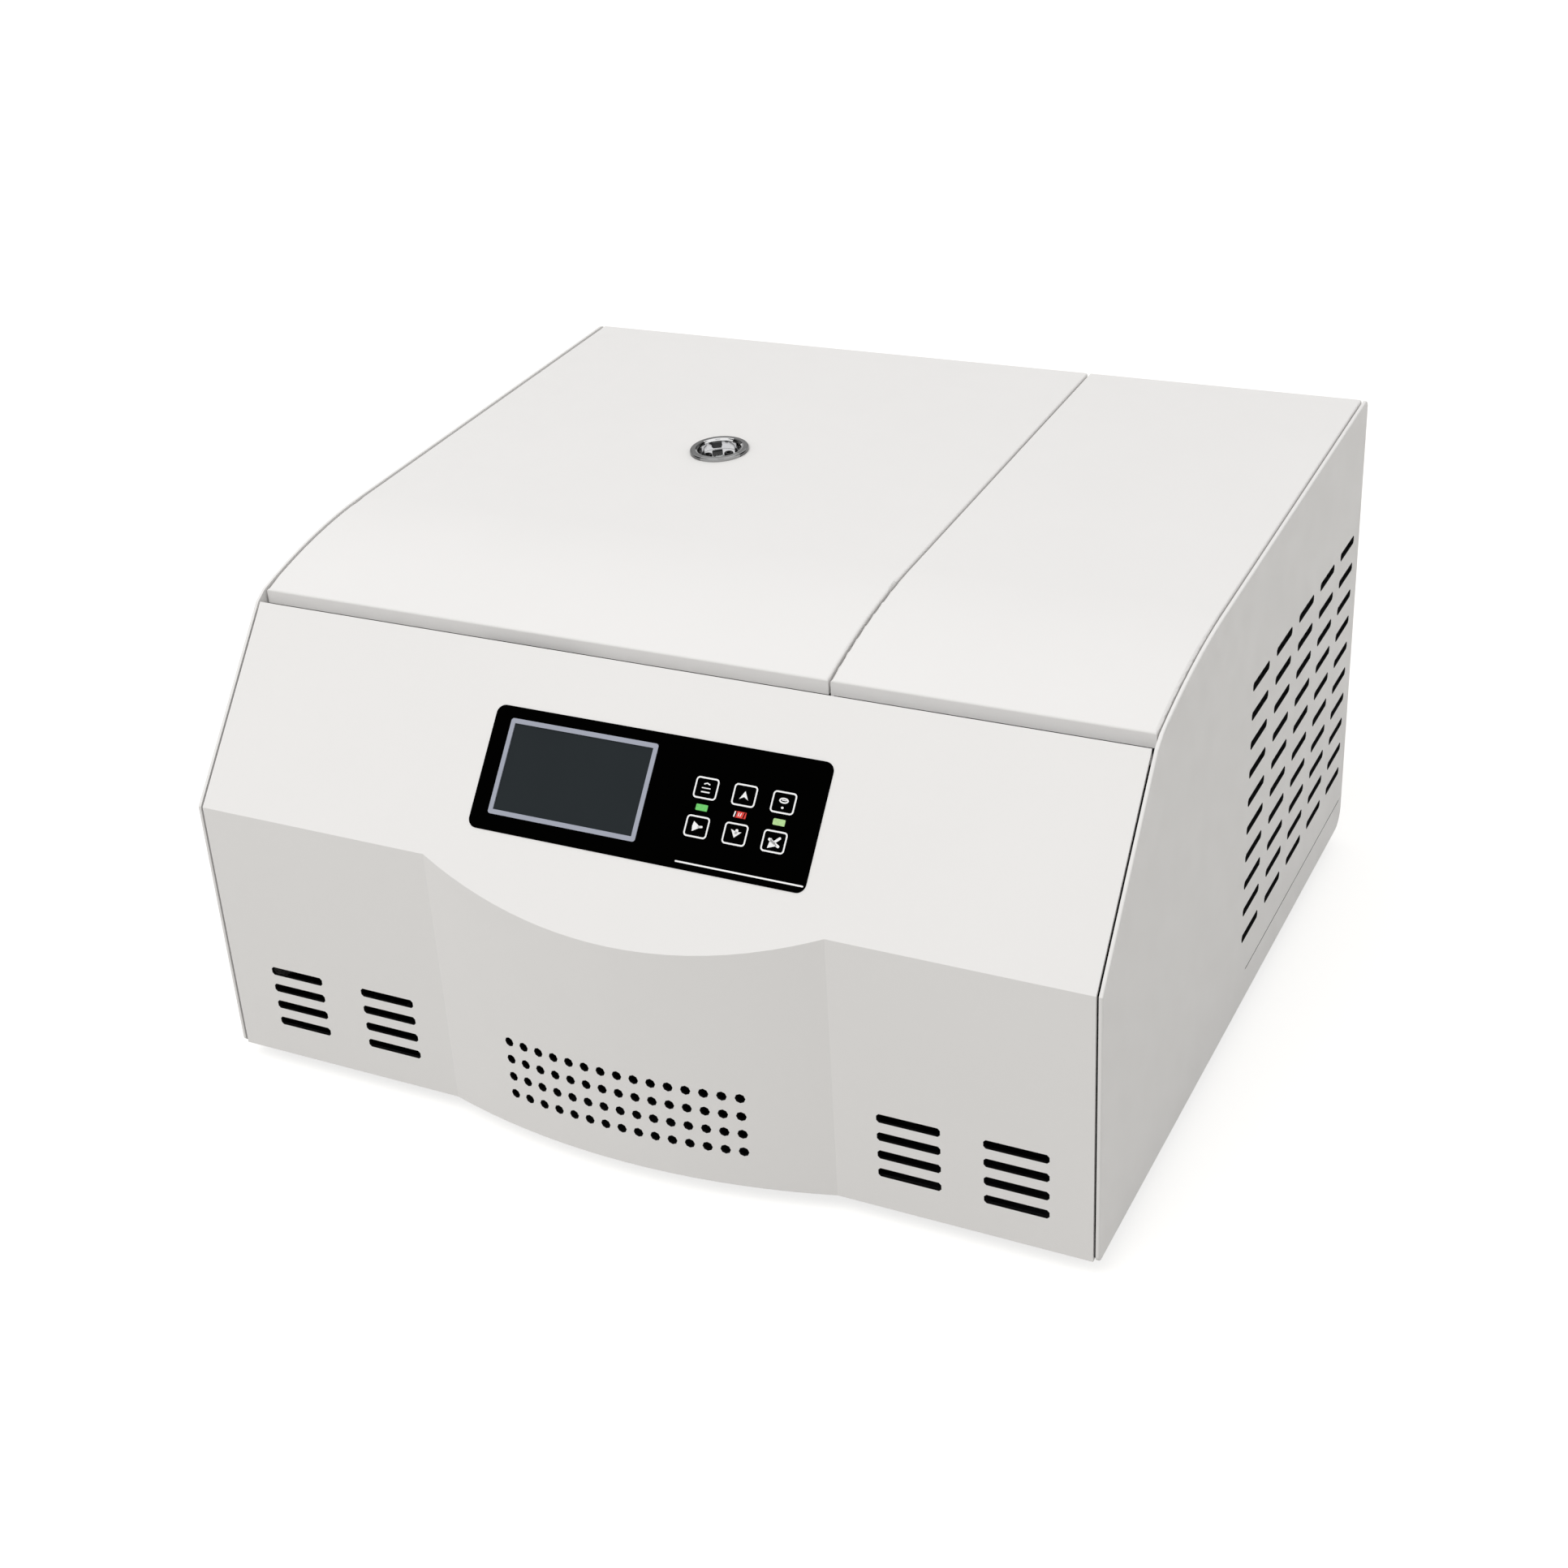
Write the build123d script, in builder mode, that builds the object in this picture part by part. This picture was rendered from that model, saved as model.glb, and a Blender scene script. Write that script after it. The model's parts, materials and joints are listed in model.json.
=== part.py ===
from build123d import *
import os
from math import asin, cos, degrees, radians, sin, sqrt, tan

# Refrigerated bench centrifuge for microplates, in millimetres.
# The origin is under the middle of the whole machine, on the surface it stands on.
# +X points to the machine's right as its user sees it, +Y to its back, +Z up.

os.makedirs("parts", exist_ok=True)

# ---------------------------------------------------------------- overall sizes
body_width = 620.0
body_depth = 560.0  # flat front face to the side panels' back edges
foot_height = 12.0
crease_height = 185.0  # body's bottom edge to the crease under the console
console_slope = 50.4  # degrees from level
console_height = 293.7  # body's bottom edge to the console's top edge
lip_setback = 8.6  # console's top edge back to the lid's front lip
lip_height = 299.2  # body's bottom edge to the top of the lip
lip_depth = 9.7
crown_radius = 444.0  # rounding of the top behind the lip
crown_angle = 18.5  # slope of the top at the lip, degrees
back_rise = 3.18  # slope of the straight part of the top, degrees

bow_centre = 4.0  # the bulge of the lower front
bow_half_width = 138.0
bow_sagitta = 20.0

# ---------------------------------------------------------------- sheet metal and gaps
sheet = 2.0
seam = 1.5  # visible joint between two panels
edge_round = 1.6
flange_depth = 15.0
side_thickness = 2.4
side_round = 1.0
rear_inset = 6.0  # rear panel inside the side panels' back edges
top_back_inset = 4.0  # lid and cover inside the side panels' back edges
rear_height = 309.0
split_x = 105.0  # joint between the lid and the fixed cover
lid_over_deck = 3.0
tray_wall = 20.0
fit_gap = 0.3  # between pieces of different bodies
slip = 0.05  # radial running clearance of shafts and pins

# ---------------------------------------------------------------- derived planes
overall_depth = body_depth + bow_sagitta
y_front = bow_sagitta - overall_depth / 2
y_back = overall_depth / 2
z_base = foot_height
x_side = body_width / 2 - side_thickness  # inner face of a side panel's rim
x_panel = x_side - seam  # ends of the front panel, lid and cover
z_crease = z_base + crease_height
z_console = z_base + console_height
y_console = y_front + (console_height - crease_height) / tan(radians(console_slope))
y_lip = y_console + lip_setback
z_lip = z_base + lip_height
z_lip_bottom = z_lip - lip_depth
z_deck = z_lip_bottom - lid_over_deck
y_rear_panel = y_back - rear_inset
y_top_back = y_back - top_back_inset
z_rear_top = z_base + rear_height
slope_sin = sin(radians(console_slope))
slope_cos = cos(radians(console_slope))
console = Plane(
    origin=(0, y_front, z_crease),
    x_dir=(1, 0, 0),
    z_dir=(0, -slope_sin, slope_cos),
)
bow_radius = (bow_half_width**2 + bow_sagitta**2) / (2 * bow_sagitta)
crown_centre_y = y_lip + crown_radius * sin(radians(crown_angle))
crown_centre_z = z_lip - crown_radius * cos(radians(crown_angle))

# ---------------------------------------------------------------- lid and cover
lid_left = -x_panel
lid_right = split_x - seam / 2
cover_left = split_x + seam / 2
cover_right = x_panel
hinge_inset = 9.5  # hinge axis ahead of the lid's rear face
hinge_drop = 11.2  # hinge axis below the lid's rear top edge
lid_tail = 23.0  # rear end of the lid's deep part, ahead of its rear face
lid_tail_lift = 23.5  # rear flange's lower edge above the lip's lower edge
window_outer = 20.9
window_tube = 17.0
window_bore = 12.5
window_glass_thickness = 4.0

# ---------------------------------------------------------------- vents
vent_pitch = 13.3
vent_rows = 4
vent_first = 26.5  # lowest row above the body's bottom edge
vent_length = 41.0
vent_height = 6.2
vent_insets_left = (53.6, 125.9)  # centres of the slot groups from the front panel's left end
vent_insets_right = (115.4, 47.3)  # and from its right end
perforation_columns = 15
perforation_pitch = 11.7
perforation_radius = 3.4
perforation_sides = 8
perforation_centre = 4.2
louvre_columns = 5
louvre_rows = 10
louvre_pitch_y = 55.0
louvre_pitch_z = 20.8
louvre_length = 38.0
louvre_height = 6.2
louvre_back = 36.0  # rear column's centre ahead of the side panel's back edge
louvre_low = 54.3  # lowest row above the body's bottom edge
groove_height = 24.0  # scored line on the right panel above the body's bottom edge
groove_length = 262.0
groove_width = 0.8
groove_depth = 0.6

# ---------------------------------------------------------------- console
keypad_width = 231.5
keypad_height = 79.3
keypad_centre_x = 7.55
keypad_centre_v = 62.4  # up the slope from the crease
keypad_corner = 6.0
keypad_proud = 0.5
keypad_rim = 6.0  # rear flange round the keypad's opening
keypad_rim_thickness = 2.0
screen_margin = 12.2  # keypad's left edge to the screen
screen_margin_low = 10.55
screen_margin_high = 7.55
screen_gap = 30.15  # screen to the keys beside it
screen_border = 3.0
screen_corner = 1.8
key_width = 15.5
key_height = 13.3
key_corner = 2.4
key_pitch_x = 25.6
key_pitch_v = 23.7
keys_margin = 51.8  # keypad's right edge to the middle column of keys
keys_drop = 0.9  # middle of the keys below the middle of the keypad
key_proud = 0.3
key_gap = 0.25
key_travel = 0.5
lamp_width = 8.0
lamp_height = 4.0
board_thickness = 1.6

# ---------------------------------------------------------------- drive
shaft_radius = 8.0
motor_radius = 60.0
motor_height = 72.0
motor_plate_size = 150.0
motor_plate_thickness = 6.0
damper_radius = 11.0
damper_height = 20.0
boot_wall = 2.5

# ---------------------------------------------------------------- swing-out rotor
plate_length = 129.0  # microplate seat, longer side
plate_width = 87.0
carrier_wall = 2.0
carrier_floor = 3.0
carrier_above = 6.0  # carrier's rim above the trunnion axis
carrier_below = 46.0  # carrier's underside below the trunnion axis
boss_radius = 9.0
boss_thickness = 3.0
boss_gap = 1.0  # from a boss to the beam beside it
hub_radius = 29.0
hub_height = 38.0
hub_gap = 5.5  # from the hub to a carrier
trunnion_radius = 4.0
beam_thickness = 10.0
beam_height = 24.0
beam_end = 12.0  # beam's end past the trunnion axis
cross_width = 50.0
nut_radius = 17.0
nut_height = 22.0
nut_flutes = 6
seat_length = plate_length + 2 * carrier_wall
seat_width = plate_width + 2 * carrier_wall
trunnion_reach = hub_radius + hub_gap + seat_width / 2  # trunnion axis from the rotor's axis
beam_offset = seat_length / 2 + boss_thickness + boss_gap + beam_thickness / 2
beam_length = 2 * (trunnion_reach + beam_end)
carrier_sweep = sqrt(carrier_below**2 + (seat_width / 2) ** 2)  # carrier's lower edge from its trunnion axis

# ---------------------------------------------------------------- rotor chamber
chamber_offset = 3.9  # chamber's axis to the right of the lid's middle
chamber_x = (lid_right - x_side) / 2 + chamber_offset
chamber_rear_gap = 11.0  # from the chamber's insulation to the rear panel
swing_gap = 8.0  # from the swinging carriers to the bowl
headroom = 15.5  # from the swung carriers to the deck
floor_room = 29.3  # from the swinging carriers to the bowl's floor
bowl_wall = 1.5
weld_gap = 0.05  # between the bowl's floor pan, wall and flange, which are welded together
bowl_radius = sqrt((trunnion_reach + carrier_sweep) ** 2 + (seat_length / 2) ** 2) + swing_gap + bowl_wall
trunnion_drop = seat_width / 2 + headroom  # trunnion axis below the deck
bowl_depth = trunnion_drop + carrier_sweep + floor_room
bowl_corner = 28.0
bowl_flange = 12.0
bowl_hole = 26.0
gasket_width = 7.0
gasket_slant = 65.0
jacket_thickness = 3.0
foam_thickness = 15.0
foam_floor = 16.0
foam_radius = bowl_radius + jacket_thickness + foam_thickness
chamber_y = y_rear_panel - sheet - chamber_rear_gap - foam_radius

# ---------------------------------------------------------------- lock
lock_setback = 40.0  # lock's slot behind the console's top edge
striker_width = 26.0
striker_thickness = 5.0
striker_reach = 32.0
striker_window_width = 14.0
striker_window_height = 12.0
striker_window_low = 5.0
slot_ahead = 7.0
slot_behind = 3.0
latch_axis_drop = 40.0
latch_radius = 6.0
latch_pin_radius = 3.0
latch_width = 10.0
latch_open = 42.0  # degrees from engaged to free
lock_wall = 3.0

# ---------------------------------------------------------------- cooling
partition_y = 20.0
compressor_radius = 56.0
compressor_height = 150.0
compressor_setback = 130.0
condenser_thickness = 38.0
condenser_length = 232.0
condenser_height = 236.0
fan_radius = 78.0
fan_blades = 5
fan_hub = 24.0
shroud_thickness = 26.0
pipe_radius = 4.0
pipe_sides = 8

# ---------------------------------------------------------------- rear and feet
inlet_inset = 96.0  # inlet's centre from the right side panel
switch_inset = 59.0
inlet_z = 62.0
inlet_x = x_side - inlet_inset
switch_x = x_side - switch_inset
switch_width = 13.0
switch_height = 20.0
rocker_angle = 8.0
foot_radius = 19.0
foot_inset_x = 48.0
foot_inset_y = 52.0


def crown_turn(inset):
    """Point where the rounded crown meets the straight part of the top, moved in by inset."""
    reach = crown_radius - inset
    return (
        crown_centre_y - reach * sin(radians(back_rise)),
        crown_centre_z + reach * cos(radians(back_rise)),
    )


def top_z(y, inset=0.0):
    """Height at depth y of the machine's top surface, moved in by inset."""
    turn_y, turn_z = crown_turn(inset)
    if y > turn_y:
        return turn_z + (y - turn_y) * tan(radians(back_rise))
    return crown_centre_z + sqrt((crown_radius - inset) ** 2 - (y - crown_centre_y) ** 2)


def top_line(start_y, end_y, inset=0.0):
    """Top edge from start_y to end_y, for an outline on the YZ plane."""
    reach = crown_radius - inset
    start_angle = degrees(asin((crown_centre_y - start_y) / reach))
    CenterArc((crown_centre_y, crown_centre_z), reach, 90 + start_angle, back_rise - start_angle)
    Line(crown_turn(inset), (end_y, top_z(end_y, inset)))


def on_top_edge(edge):
    """True for the edges that border the machine's top surface."""
    middle = edge.center()
    runs_across = abs(edge.tangent_at(0.5).X) > 0.99
    at_top = abs(middle.Z - top_z(max(middle.Y, y_lip))) < sheet
    return at_top and not (runs_across and middle.Y > y_lip + sheet)


def console_hull(inset):
    """Solid under the front panel's skin, with every face moved in by inset."""
    radius = bow_radius - inset
    half = sqrt(radius**2 - (bow_radius - bow_sagitta - inset) ** 2)
    face_y = y_front + inset
    end_x = x_panel + inset
    back_y = y_console - inset
    bow_start = (bow_centre - half, face_y)
    bow_end = (bow_centre + half, face_y)
    with BuildPart() as hull:
        with BuildSketch(Plane.XY.offset(z_base + inset)):
            with BuildLine():
                Polyline(
                    bow_end,
                    (end_x, face_y),
                    (end_x, back_y),
                    (-end_x, back_y),
                    (-end_x, face_y),
                    bow_start,
                )
                ThreePointArc(bow_start, (bow_centre, face_y - bow_sagitta), bow_end)
            make_face()
        extrude(amount=body_width)
        split(bisect_by=console.offset(-inset), keep=Keep.BOTTOM)
    return hull.part


def shell_section(x, skirt_y, skirt_z, inset):
    """Section of a top cover at x, with its skin moved in by inset."""
    front_y = y_lip + inset
    back_y = y_top_back - inset
    with BuildSketch(Plane.YZ.offset(x)) as section:
        with BuildLine():
            top_line(front_y, back_y, inset)
            Polyline(
                (back_y, top_z(back_y, inset)),
                (back_y, skirt_z),
                (skirt_y, skirt_z),
                (skirt_y, z_lip_bottom),
                (front_y, z_lip_bottom),
                (front_y, top_z(front_y, inset)),
            )
        make_face()
    return section.sketch


def top_shell(left, right, skirt_y, skirt_z):
    """Pressed cover from x=left to x=right, open below; behind skirt_y its edge lifts to skirt_z."""
    skin = shell_section(left, skirt_y, skirt_z, 0.0)
    void = shell_section(left + sheet, skirt_y, skirt_z, sheet)
    with BuildPart() as shell:
        extrude(skin, amount=right - left)
        fillet(shell.edges().filter_by(on_top_edge), radius=edge_round)
        extrude(void, amount=right - left - 2 * sheet, mode=Mode.SUBTRACT)
    return shell.part


# ---------------------------------------------------------------- outlines of the punched vents
with BuildSketch() as vent_slot:
    Rectangle(vent_length, vent_height / 2)
    Rectangle(vent_length - vent_height / 2, vent_height)
    make_hull()

with BuildSketch() as louvre_slot:
    Rectangle(louvre_length, louvre_height / 2)
    Rectangle(louvre_length - louvre_height / 2, louvre_height)
    make_hull()

# ---------------------------------------------------------------- base tray
with BuildPart() as base_tray:
    tray_y0 = y_front + sheet
    tray_y1 = y_rear_panel - sheet
    with BuildSketch(Plane.XY.offset(z_base + sheet)) as tray_floor:
        with Locations((0, (tray_y0 + tray_y1) / 2)):
            Rectangle(2 * x_side, tray_y1 - tray_y0)
    extrude(amount=tray_wall)
    with BuildSketch(Plane.XY.offset(z_base + 2 * sheet)):
        add(tray_floor.sketch)
        offset(amount=-sheet, kind=Kind.INTERSECTION)
    extrude(amount=tray_wall, mode=Mode.SUBTRACT)

base_tray.part.label = "base_tray"
export_step(base_tray.part, "parts/base_tray.step")

# ---------------------------------------------------------------- rubber feet
foot_taper = 3.0

with BuildPart() as rubber_feet:
    with BuildSketch(Plane.XZ):
        with BuildLine():
            Polyline(
                (0, 0),
                (foot_radius - foot_taper, 0),
                (foot_radius, foot_height + sheet),
                (0, foot_height + sheet),
                close=True,
            )
        make_face()
    foot = revolve(axis=Axis.Z, mode=Mode.PRIVATE)
    foot_middle = (y_front + y_back) / 2
    foot_span_x = body_width - 2 * foot_inset_x
    foot_span_y = body_depth - 2 * foot_inset_y
    with Locations((0, foot_middle)):
        with GridLocations(foot_span_x, foot_span_y, 2, 2):
            add(foot)

rubber_feet.part.label = "rubber_feet"
export_step(rubber_feet.part, "parts/rubber_feet.step")

# ---------------------------------------------------------------- front panel: bowed foot, sloped console
vent_places = [inset - x_panel for inset in vent_insets_left]
vent_places += [x_panel - inset for inset in vent_insets_right]
vent_middle_z = z_base + vent_first + vent_pitch * (vent_rows - 1) / 2
front_skin = console_hull(0)
front_void = console_hull(sheet)

with BuildPart() as front_panel:
    add(front_skin)
    add(front_void, mode=Mode.SUBTRACT)
    # the rear of the hull is open between the bottom flange and the top return flange
    with BuildSketch(Plane.XZ.offset(-y_console)):
        with Locations((0, (z_base + sheet + z_deck - sheet) / 2)):
            Rectangle(body_width, z_deck - z_base - 2 * sheet)
    extrude(amount=sheet, mode=Mode.SUBTRACT)
    with BuildSketch(Plane.XY.offset(z_base)):
        with Locations((0, (y_front + flange_depth + y_console) / 2)):
            Rectangle(body_width, y_console - y_front - flange_depth)
    extrude(amount=sheet, mode=Mode.SUBTRACT)
    # vent slots at both ends
    for vent_x in vent_places:
        with BuildSketch(Plane.XZ.offset(-y_front - sheet)):
            with Locations((vent_x, vent_middle_z)):
                with GridLocations(1, vent_pitch, 1, vent_rows):
                    add(vent_slot.sketch)
        extrude(amount=sheet, mode=Mode.SUBTRACT)
    # perforated field in the bow
    with BuildSketch(Plane.XZ.offset(-y_front - sheet)):
        with Locations((perforation_centre, vent_middle_z)):
            with GridLocations(perforation_pitch, vent_pitch, perforation_columns, vent_rows):
                RegularPolygon(perforation_radius, perforation_sides)
    extrude(amount=bow_sagitta + sheet, mode=Mode.SUBTRACT)
    # opening for the key panel
    with BuildSketch(console.offset(-sheet)):
        with Locations((keypad_centre_x, keypad_centre_v)):
            RectangleRounded(keypad_width, keypad_height, keypad_corner)
    extrude(amount=sheet, mode=Mode.SUBTRACT)

front_panel.part.label = "front_panel"
export_step(front_panel.part, "parts/front_panel.step")

# ---------------------------------------------------------------- side panels
side_foot_round = 15.0
side_top_round = 6.0
side_nose_round = 4.0

with BuildSketch(Plane.YZ) as side_outline:
    with BuildLine():
        top_line(y_lip, y_back)
        Polyline(
            (y_back, top_z(y_back)),
            (y_back, z_base),
            (y_front, z_base),
            (y_front, z_crease),
            (y_console, z_console),
            (y_lip, z_lip),
        )
    make_face()
    fillet(side_outline.vertices().sort_by(Axis.X)[-2:].sort_by(Axis.Y)[0], radius=side_foot_round)
    fillet(side_outline.vertices().sort_by(Axis.Y)[-1], radius=side_top_round)
    fillet(side_outline.vertices().sort_by_distance((y_front, z_base))[0], radius=side_nose_round)

with BuildPart() as right_side_panel:
    with BuildSketch(Plane.YZ.offset(x_side)):
        add(side_outline.sketch_local)
    extrude(amount=side_thickness)
    outer_face = right_side_panel.faces().sort_by(Axis.X)[-1]
    fillet(outer_face.edges(), radius=side_round)
    # louvre slots over the condenser
    louvre_mid_y = y_back - louvre_back - louvre_pitch_y * (louvre_columns - 1) / 2
    louvre_mid_z = z_base + louvre_low + louvre_pitch_z * (louvre_rows - 1) / 2
    with BuildSketch(Plane.YZ.offset(x_side)):
        with Locations((louvre_mid_y, louvre_mid_z)):
            with GridLocations(louvre_pitch_y, louvre_pitch_z, louvre_columns, louvre_rows):
                add(louvre_slot.sketch)
    extrude(amount=side_thickness, mode=Mode.SUBTRACT)
    # scored line above the tray
    with BuildSketch(Plane.YZ.offset(x_side + side_thickness)):
        with Locations((y_back - groove_length / 2, z_base + groove_height)):
            Rectangle(groove_length, groove_width)
    extrude(amount=-groove_depth, mode=Mode.SUBTRACT)

right_side_panel.part.label = "right_side_panel"
export_step(right_side_panel.part, "parts/right_side_panel.step")

with BuildPart() as left_side_panel:
    with BuildSketch(Plane.YZ.offset(-x_side)):
        add(side_outline.sketch_local)
    extrude(amount=-side_thickness)
    outer_face = left_side_panel.faces().sort_by(Axis.X)[0]
    fillet(outer_face.edges(), radius=side_round)

left_side_panel.part.label = "left_side_panel"
export_step(left_side_panel.part, "parts/left_side_panel.step")

# ---------------------------------------------------------------- rear panel
rear_vent_columns = 3
rear_vent_rows = 8
rear_vent_x = 200.0
rear_vent_z = 190.0
rear_vent_pitch_x = 52.0
rear_vent_pitch_z = 15.6
inlet_width = 50.0
inlet_height = 28.0
inlet_flange = 2.5
inlet_lap = 2.0
inlet_body_width = inlet_width - 2 * inlet_lap
inlet_body_height = inlet_height - 2 * inlet_lap
inlet_corner = 4.0

with BuildPart() as rear_panel:
    with BuildSketch(Plane.XZ.offset(-y_rear_panel)):
        with Locations((0, (z_base + z_rear_top) / 2)):
            Rectangle(2 * x_side, z_rear_top - z_base)
    extrude(amount=sheet)
    with BuildSketch(Plane.XY.offset(z_base)):
        with Locations((0, y_rear_panel - flange_depth / 2)):
            Rectangle(2 * x_side, flange_depth)
    extrude(amount=sheet)
    with BuildSketch(Plane.XZ.offset(-y_rear_panel)):
        with Locations((rear_vent_x, rear_vent_z)):
            with GridLocations(rear_vent_pitch_x, rear_vent_pitch_z, rear_vent_columns, rear_vent_rows):
                add(louvre_slot.sketch)
        with Locations((inlet_x, inlet_z)):
            RectangleRounded(inlet_body_width, inlet_body_height, inlet_corner - inlet_lap)
        with Locations((switch_x, inlet_z)):
            Rectangle(switch_width + 2 * sheet, switch_height + 2 * sheet)
    extrude(amount=sheet, mode=Mode.SUBTRACT)

rear_panel.part.label = "rear_panel"
export_step(rear_panel.part, "parts/rear_panel.step")

# ---------------------------------------------------------------- lid and fixed top cover
hinge_y = y_top_back - hinge_inset
hinge_z = top_z(y_top_back) - hinge_drop
hinge_inset_x = 70.0
hinge_places = (lid_left + hinge_inset_x, lid_right - hinge_inset_x)
hinge_notch = 40.0
notch_relief = 3.0  # top of the notch above the hinge axis
lid_tail_y = y_top_back - lid_tail
window_plane = Plane(
    origin=(chamber_x, chamber_y, top_z(chamber_y)),
    x_dir=(1, 0, 0),
    z_dir=(0, -sin(radians(back_rise)), cos(radians(back_rise))),
)

lid_blank = top_shell(lid_left, lid_right, lid_tail_y, z_lip_bottom + lid_tail_lift)

with BuildPart() as lid_shell:
    add(lid_blank)
    with BuildSketch(window_plane.offset(-2 * sheet)):
        Circle(window_tube + slip)
    extrude(amount=4 * sheet, mode=Mode.SUBTRACT)
    # notches in the rear flange for the hinge brackets
    with BuildSketch(Plane.XZ.offset(-y_top_back)):
        for hinge_x in hinge_places:
            with Locations((hinge_x, z_lip_bottom + lid_tail_lift)):
                Rectangle(hinge_notch, 2 * (hinge_z + notch_relief - z_lip_bottom - lid_tail_lift))
    extrude(amount=sheet, mode=Mode.SUBTRACT)

lid_shell.part.label = "lid_shell"
export_step(lid_shell.part, "parts/lid_shell.step")

cover_blank = top_shell(cover_left, cover_right, y_rear_panel - sheet, z_rear_top)

with BuildPart() as fixed_cover:
    add(cover_blank)
    # wall beside the lid, down to the partition
    with BuildSketch(Plane.YZ.offset(cover_left)):
        with Locations(((y_lip + y_rear_panel - sheet) / 2, (z_deck + z_lip_bottom) / 2)):
            Rectangle(y_rear_panel - sheet - y_lip, z_lip_bottom - z_deck + 2 * sheet)
    extrude(amount=sheet)

fixed_cover.part.label = "fixed_cover"
export_step(fixed_cover.part, "parts/fixed_cover.step")

# ---------------------------------------------------------------- lid liner, window ring and sight glass
liner_x0 = lid_left + sheet
liner_x1 = lid_right - sheet
liner_y0 = y_lip + sheet
liner_y1 = lid_tail_y
z_liner = z_lip_bottom + sheet
window_depth = top_z(chamber_y) - z_liner
window_gap = 1.5  # round the window's tube in the liner
upstand_top = top_z(liner_y1, 2 * sheet) - fit_gap

with BuildPart() as lid_liner:
    with BuildSketch(Plane.XY.offset(z_liner)):
        with Locations(((liner_x0 + liner_x1) / 2, (liner_y0 + liner_y1) / 2)):
            Rectangle(liner_x1 - liner_x0, liner_y1 - liner_y0)
        with Locations((chamber_x, chamber_y)):
            Circle(window_tube + window_gap, mode=Mode.SUBTRACT)
        with Locations((chamber_x, y_console + lock_setback)):
            Rectangle(striker_width, striker_thickness, mode=Mode.SUBTRACT)
    extrude(amount=sheet)
    # rear upstand that closes the lid ahead of the hinges
    with BuildSketch(Plane.XZ.offset(-liner_y1)):
        with Locations(((liner_x0 + liner_x1) / 2, (z_liner + upstand_top) / 2)):
            Rectangle(liner_x1 - liner_x0, upstand_top - z_liner)
    extrude(amount=sheet)

lid_liner.part.label = "lid_liner"
export_step(lid_liner.part, "parts/lid_liner.step")

ring_height = 2.4
ring_edge = 1.2  # upright rim of the flange under its rounding
ring_round = ring_height - ring_edge
cup_wall = 1.8
cup_depth = 7.0
cup_step = 1.5
ring_foot = 1.0  # ring's lower end above the liner's underside
glass_radius = window_bore + cup_step
glass_seat = 4.0  # glass above the liner's underside

with BuildPart() as window_ring:
    with BuildSketch(Plane.XZ):
        with BuildLine():
            Polyline(
                (window_tube - cup_wall, ring_height - cup_wall),
                (window_tube - cup_wall, -cup_depth),
                (glass_radius, -cup_depth - cup_step),
                (glass_radius, ring_foot - window_depth),
                (window_tube, ring_foot - window_depth),
                (window_tube, 0),
                (window_outer, 0),
                (window_outer, ring_edge),
            )
            RadiusArc((window_outer, ring_edge), (window_outer - ring_round, ring_height), -ring_round)
            Line((window_outer - ring_round, ring_height), (window_tube, ring_height))
            RadiusArc((window_tube, ring_height), (window_tube - cup_wall, ring_height - cup_wall), -cup_wall)
        make_face()
    ring_form = revolve(axis=Axis.Z, mode=Mode.PRIVATE)
    with Locations(window_plane):
        add(ring_form)

window_ring.part.label = "window_ring"
export_step(window_ring.part, "parts/window_ring.step")

with BuildPart() as sight_glass:
    with BuildSketch(window_plane.offset(glass_seat - window_depth)):
        Circle(glass_radius)
    extrude(amount=window_glass_thickness)

sight_glass.part.label = "sight_glass"
export_step(sight_glass.part, "parts/sight_glass.step")

# ---------------------------------------------------------------- hinges
hinge_rod_radius = 4.0
knuckle_radius = 7.0
knuckle_length = 10.0
leaf_length = 42.0
bracket_thickness = 5.0
bracket_cheek = 6.0
bracket_foot = 3.0
leaf_inset = 1.0  # leaf's lower edge behind the front of its knuckle
rod_overhang = 5.0
rod_reach = knuckle_length / 2 + bracket_cheek + rod_overhang

with BuildPart() as hinge_brackets:
    for hinge_x in hinge_places:
        for side in (-1, 1):
            start = hinge_x + side * (knuckle_length / 2 + fit_gap)
            with BuildSketch(Plane.YZ.offset(start)):
                with Locations((hinge_y, hinge_z)):
                    Circle(knuckle_radius)
                with Locations((hinge_y, (hinge_z + z_deck) / 2)):
                    Rectangle(bracket_thickness, hinge_z - z_deck)
                with Locations((hinge_y, hinge_z)):
                    Circle(hinge_rod_radius + slip, mode=Mode.SUBTRACT)
            extrude(amount=side * bracket_cheek)
        with BuildSketch(Plane.XY.offset(z_deck)):
            with Locations((hinge_x, hinge_y - bracket_thickness / 2)):
                Rectangle(knuckle_length + 2 * (bracket_cheek + fit_gap), 2 * bracket_thickness)
        extrude(amount=bracket_foot)

hinge_brackets.part.label = "hinge_brackets"
export_step(hinge_brackets.part, "parts/hinge_brackets.step")

with BuildPart() as hinge_rod:
    with BuildSketch(Plane.YZ.offset(hinge_places[0] - rod_reach)):
        with Locations((hinge_y, hinge_z)):
            Circle(hinge_rod_radius)
    extrude(amount=hinge_places[1] - hinge_places[0] + 2 * rod_reach)

hinge_rod.part.label = "hinge_rod"
export_step(hinge_rod.part, "parts/hinge_rod.step")

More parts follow.
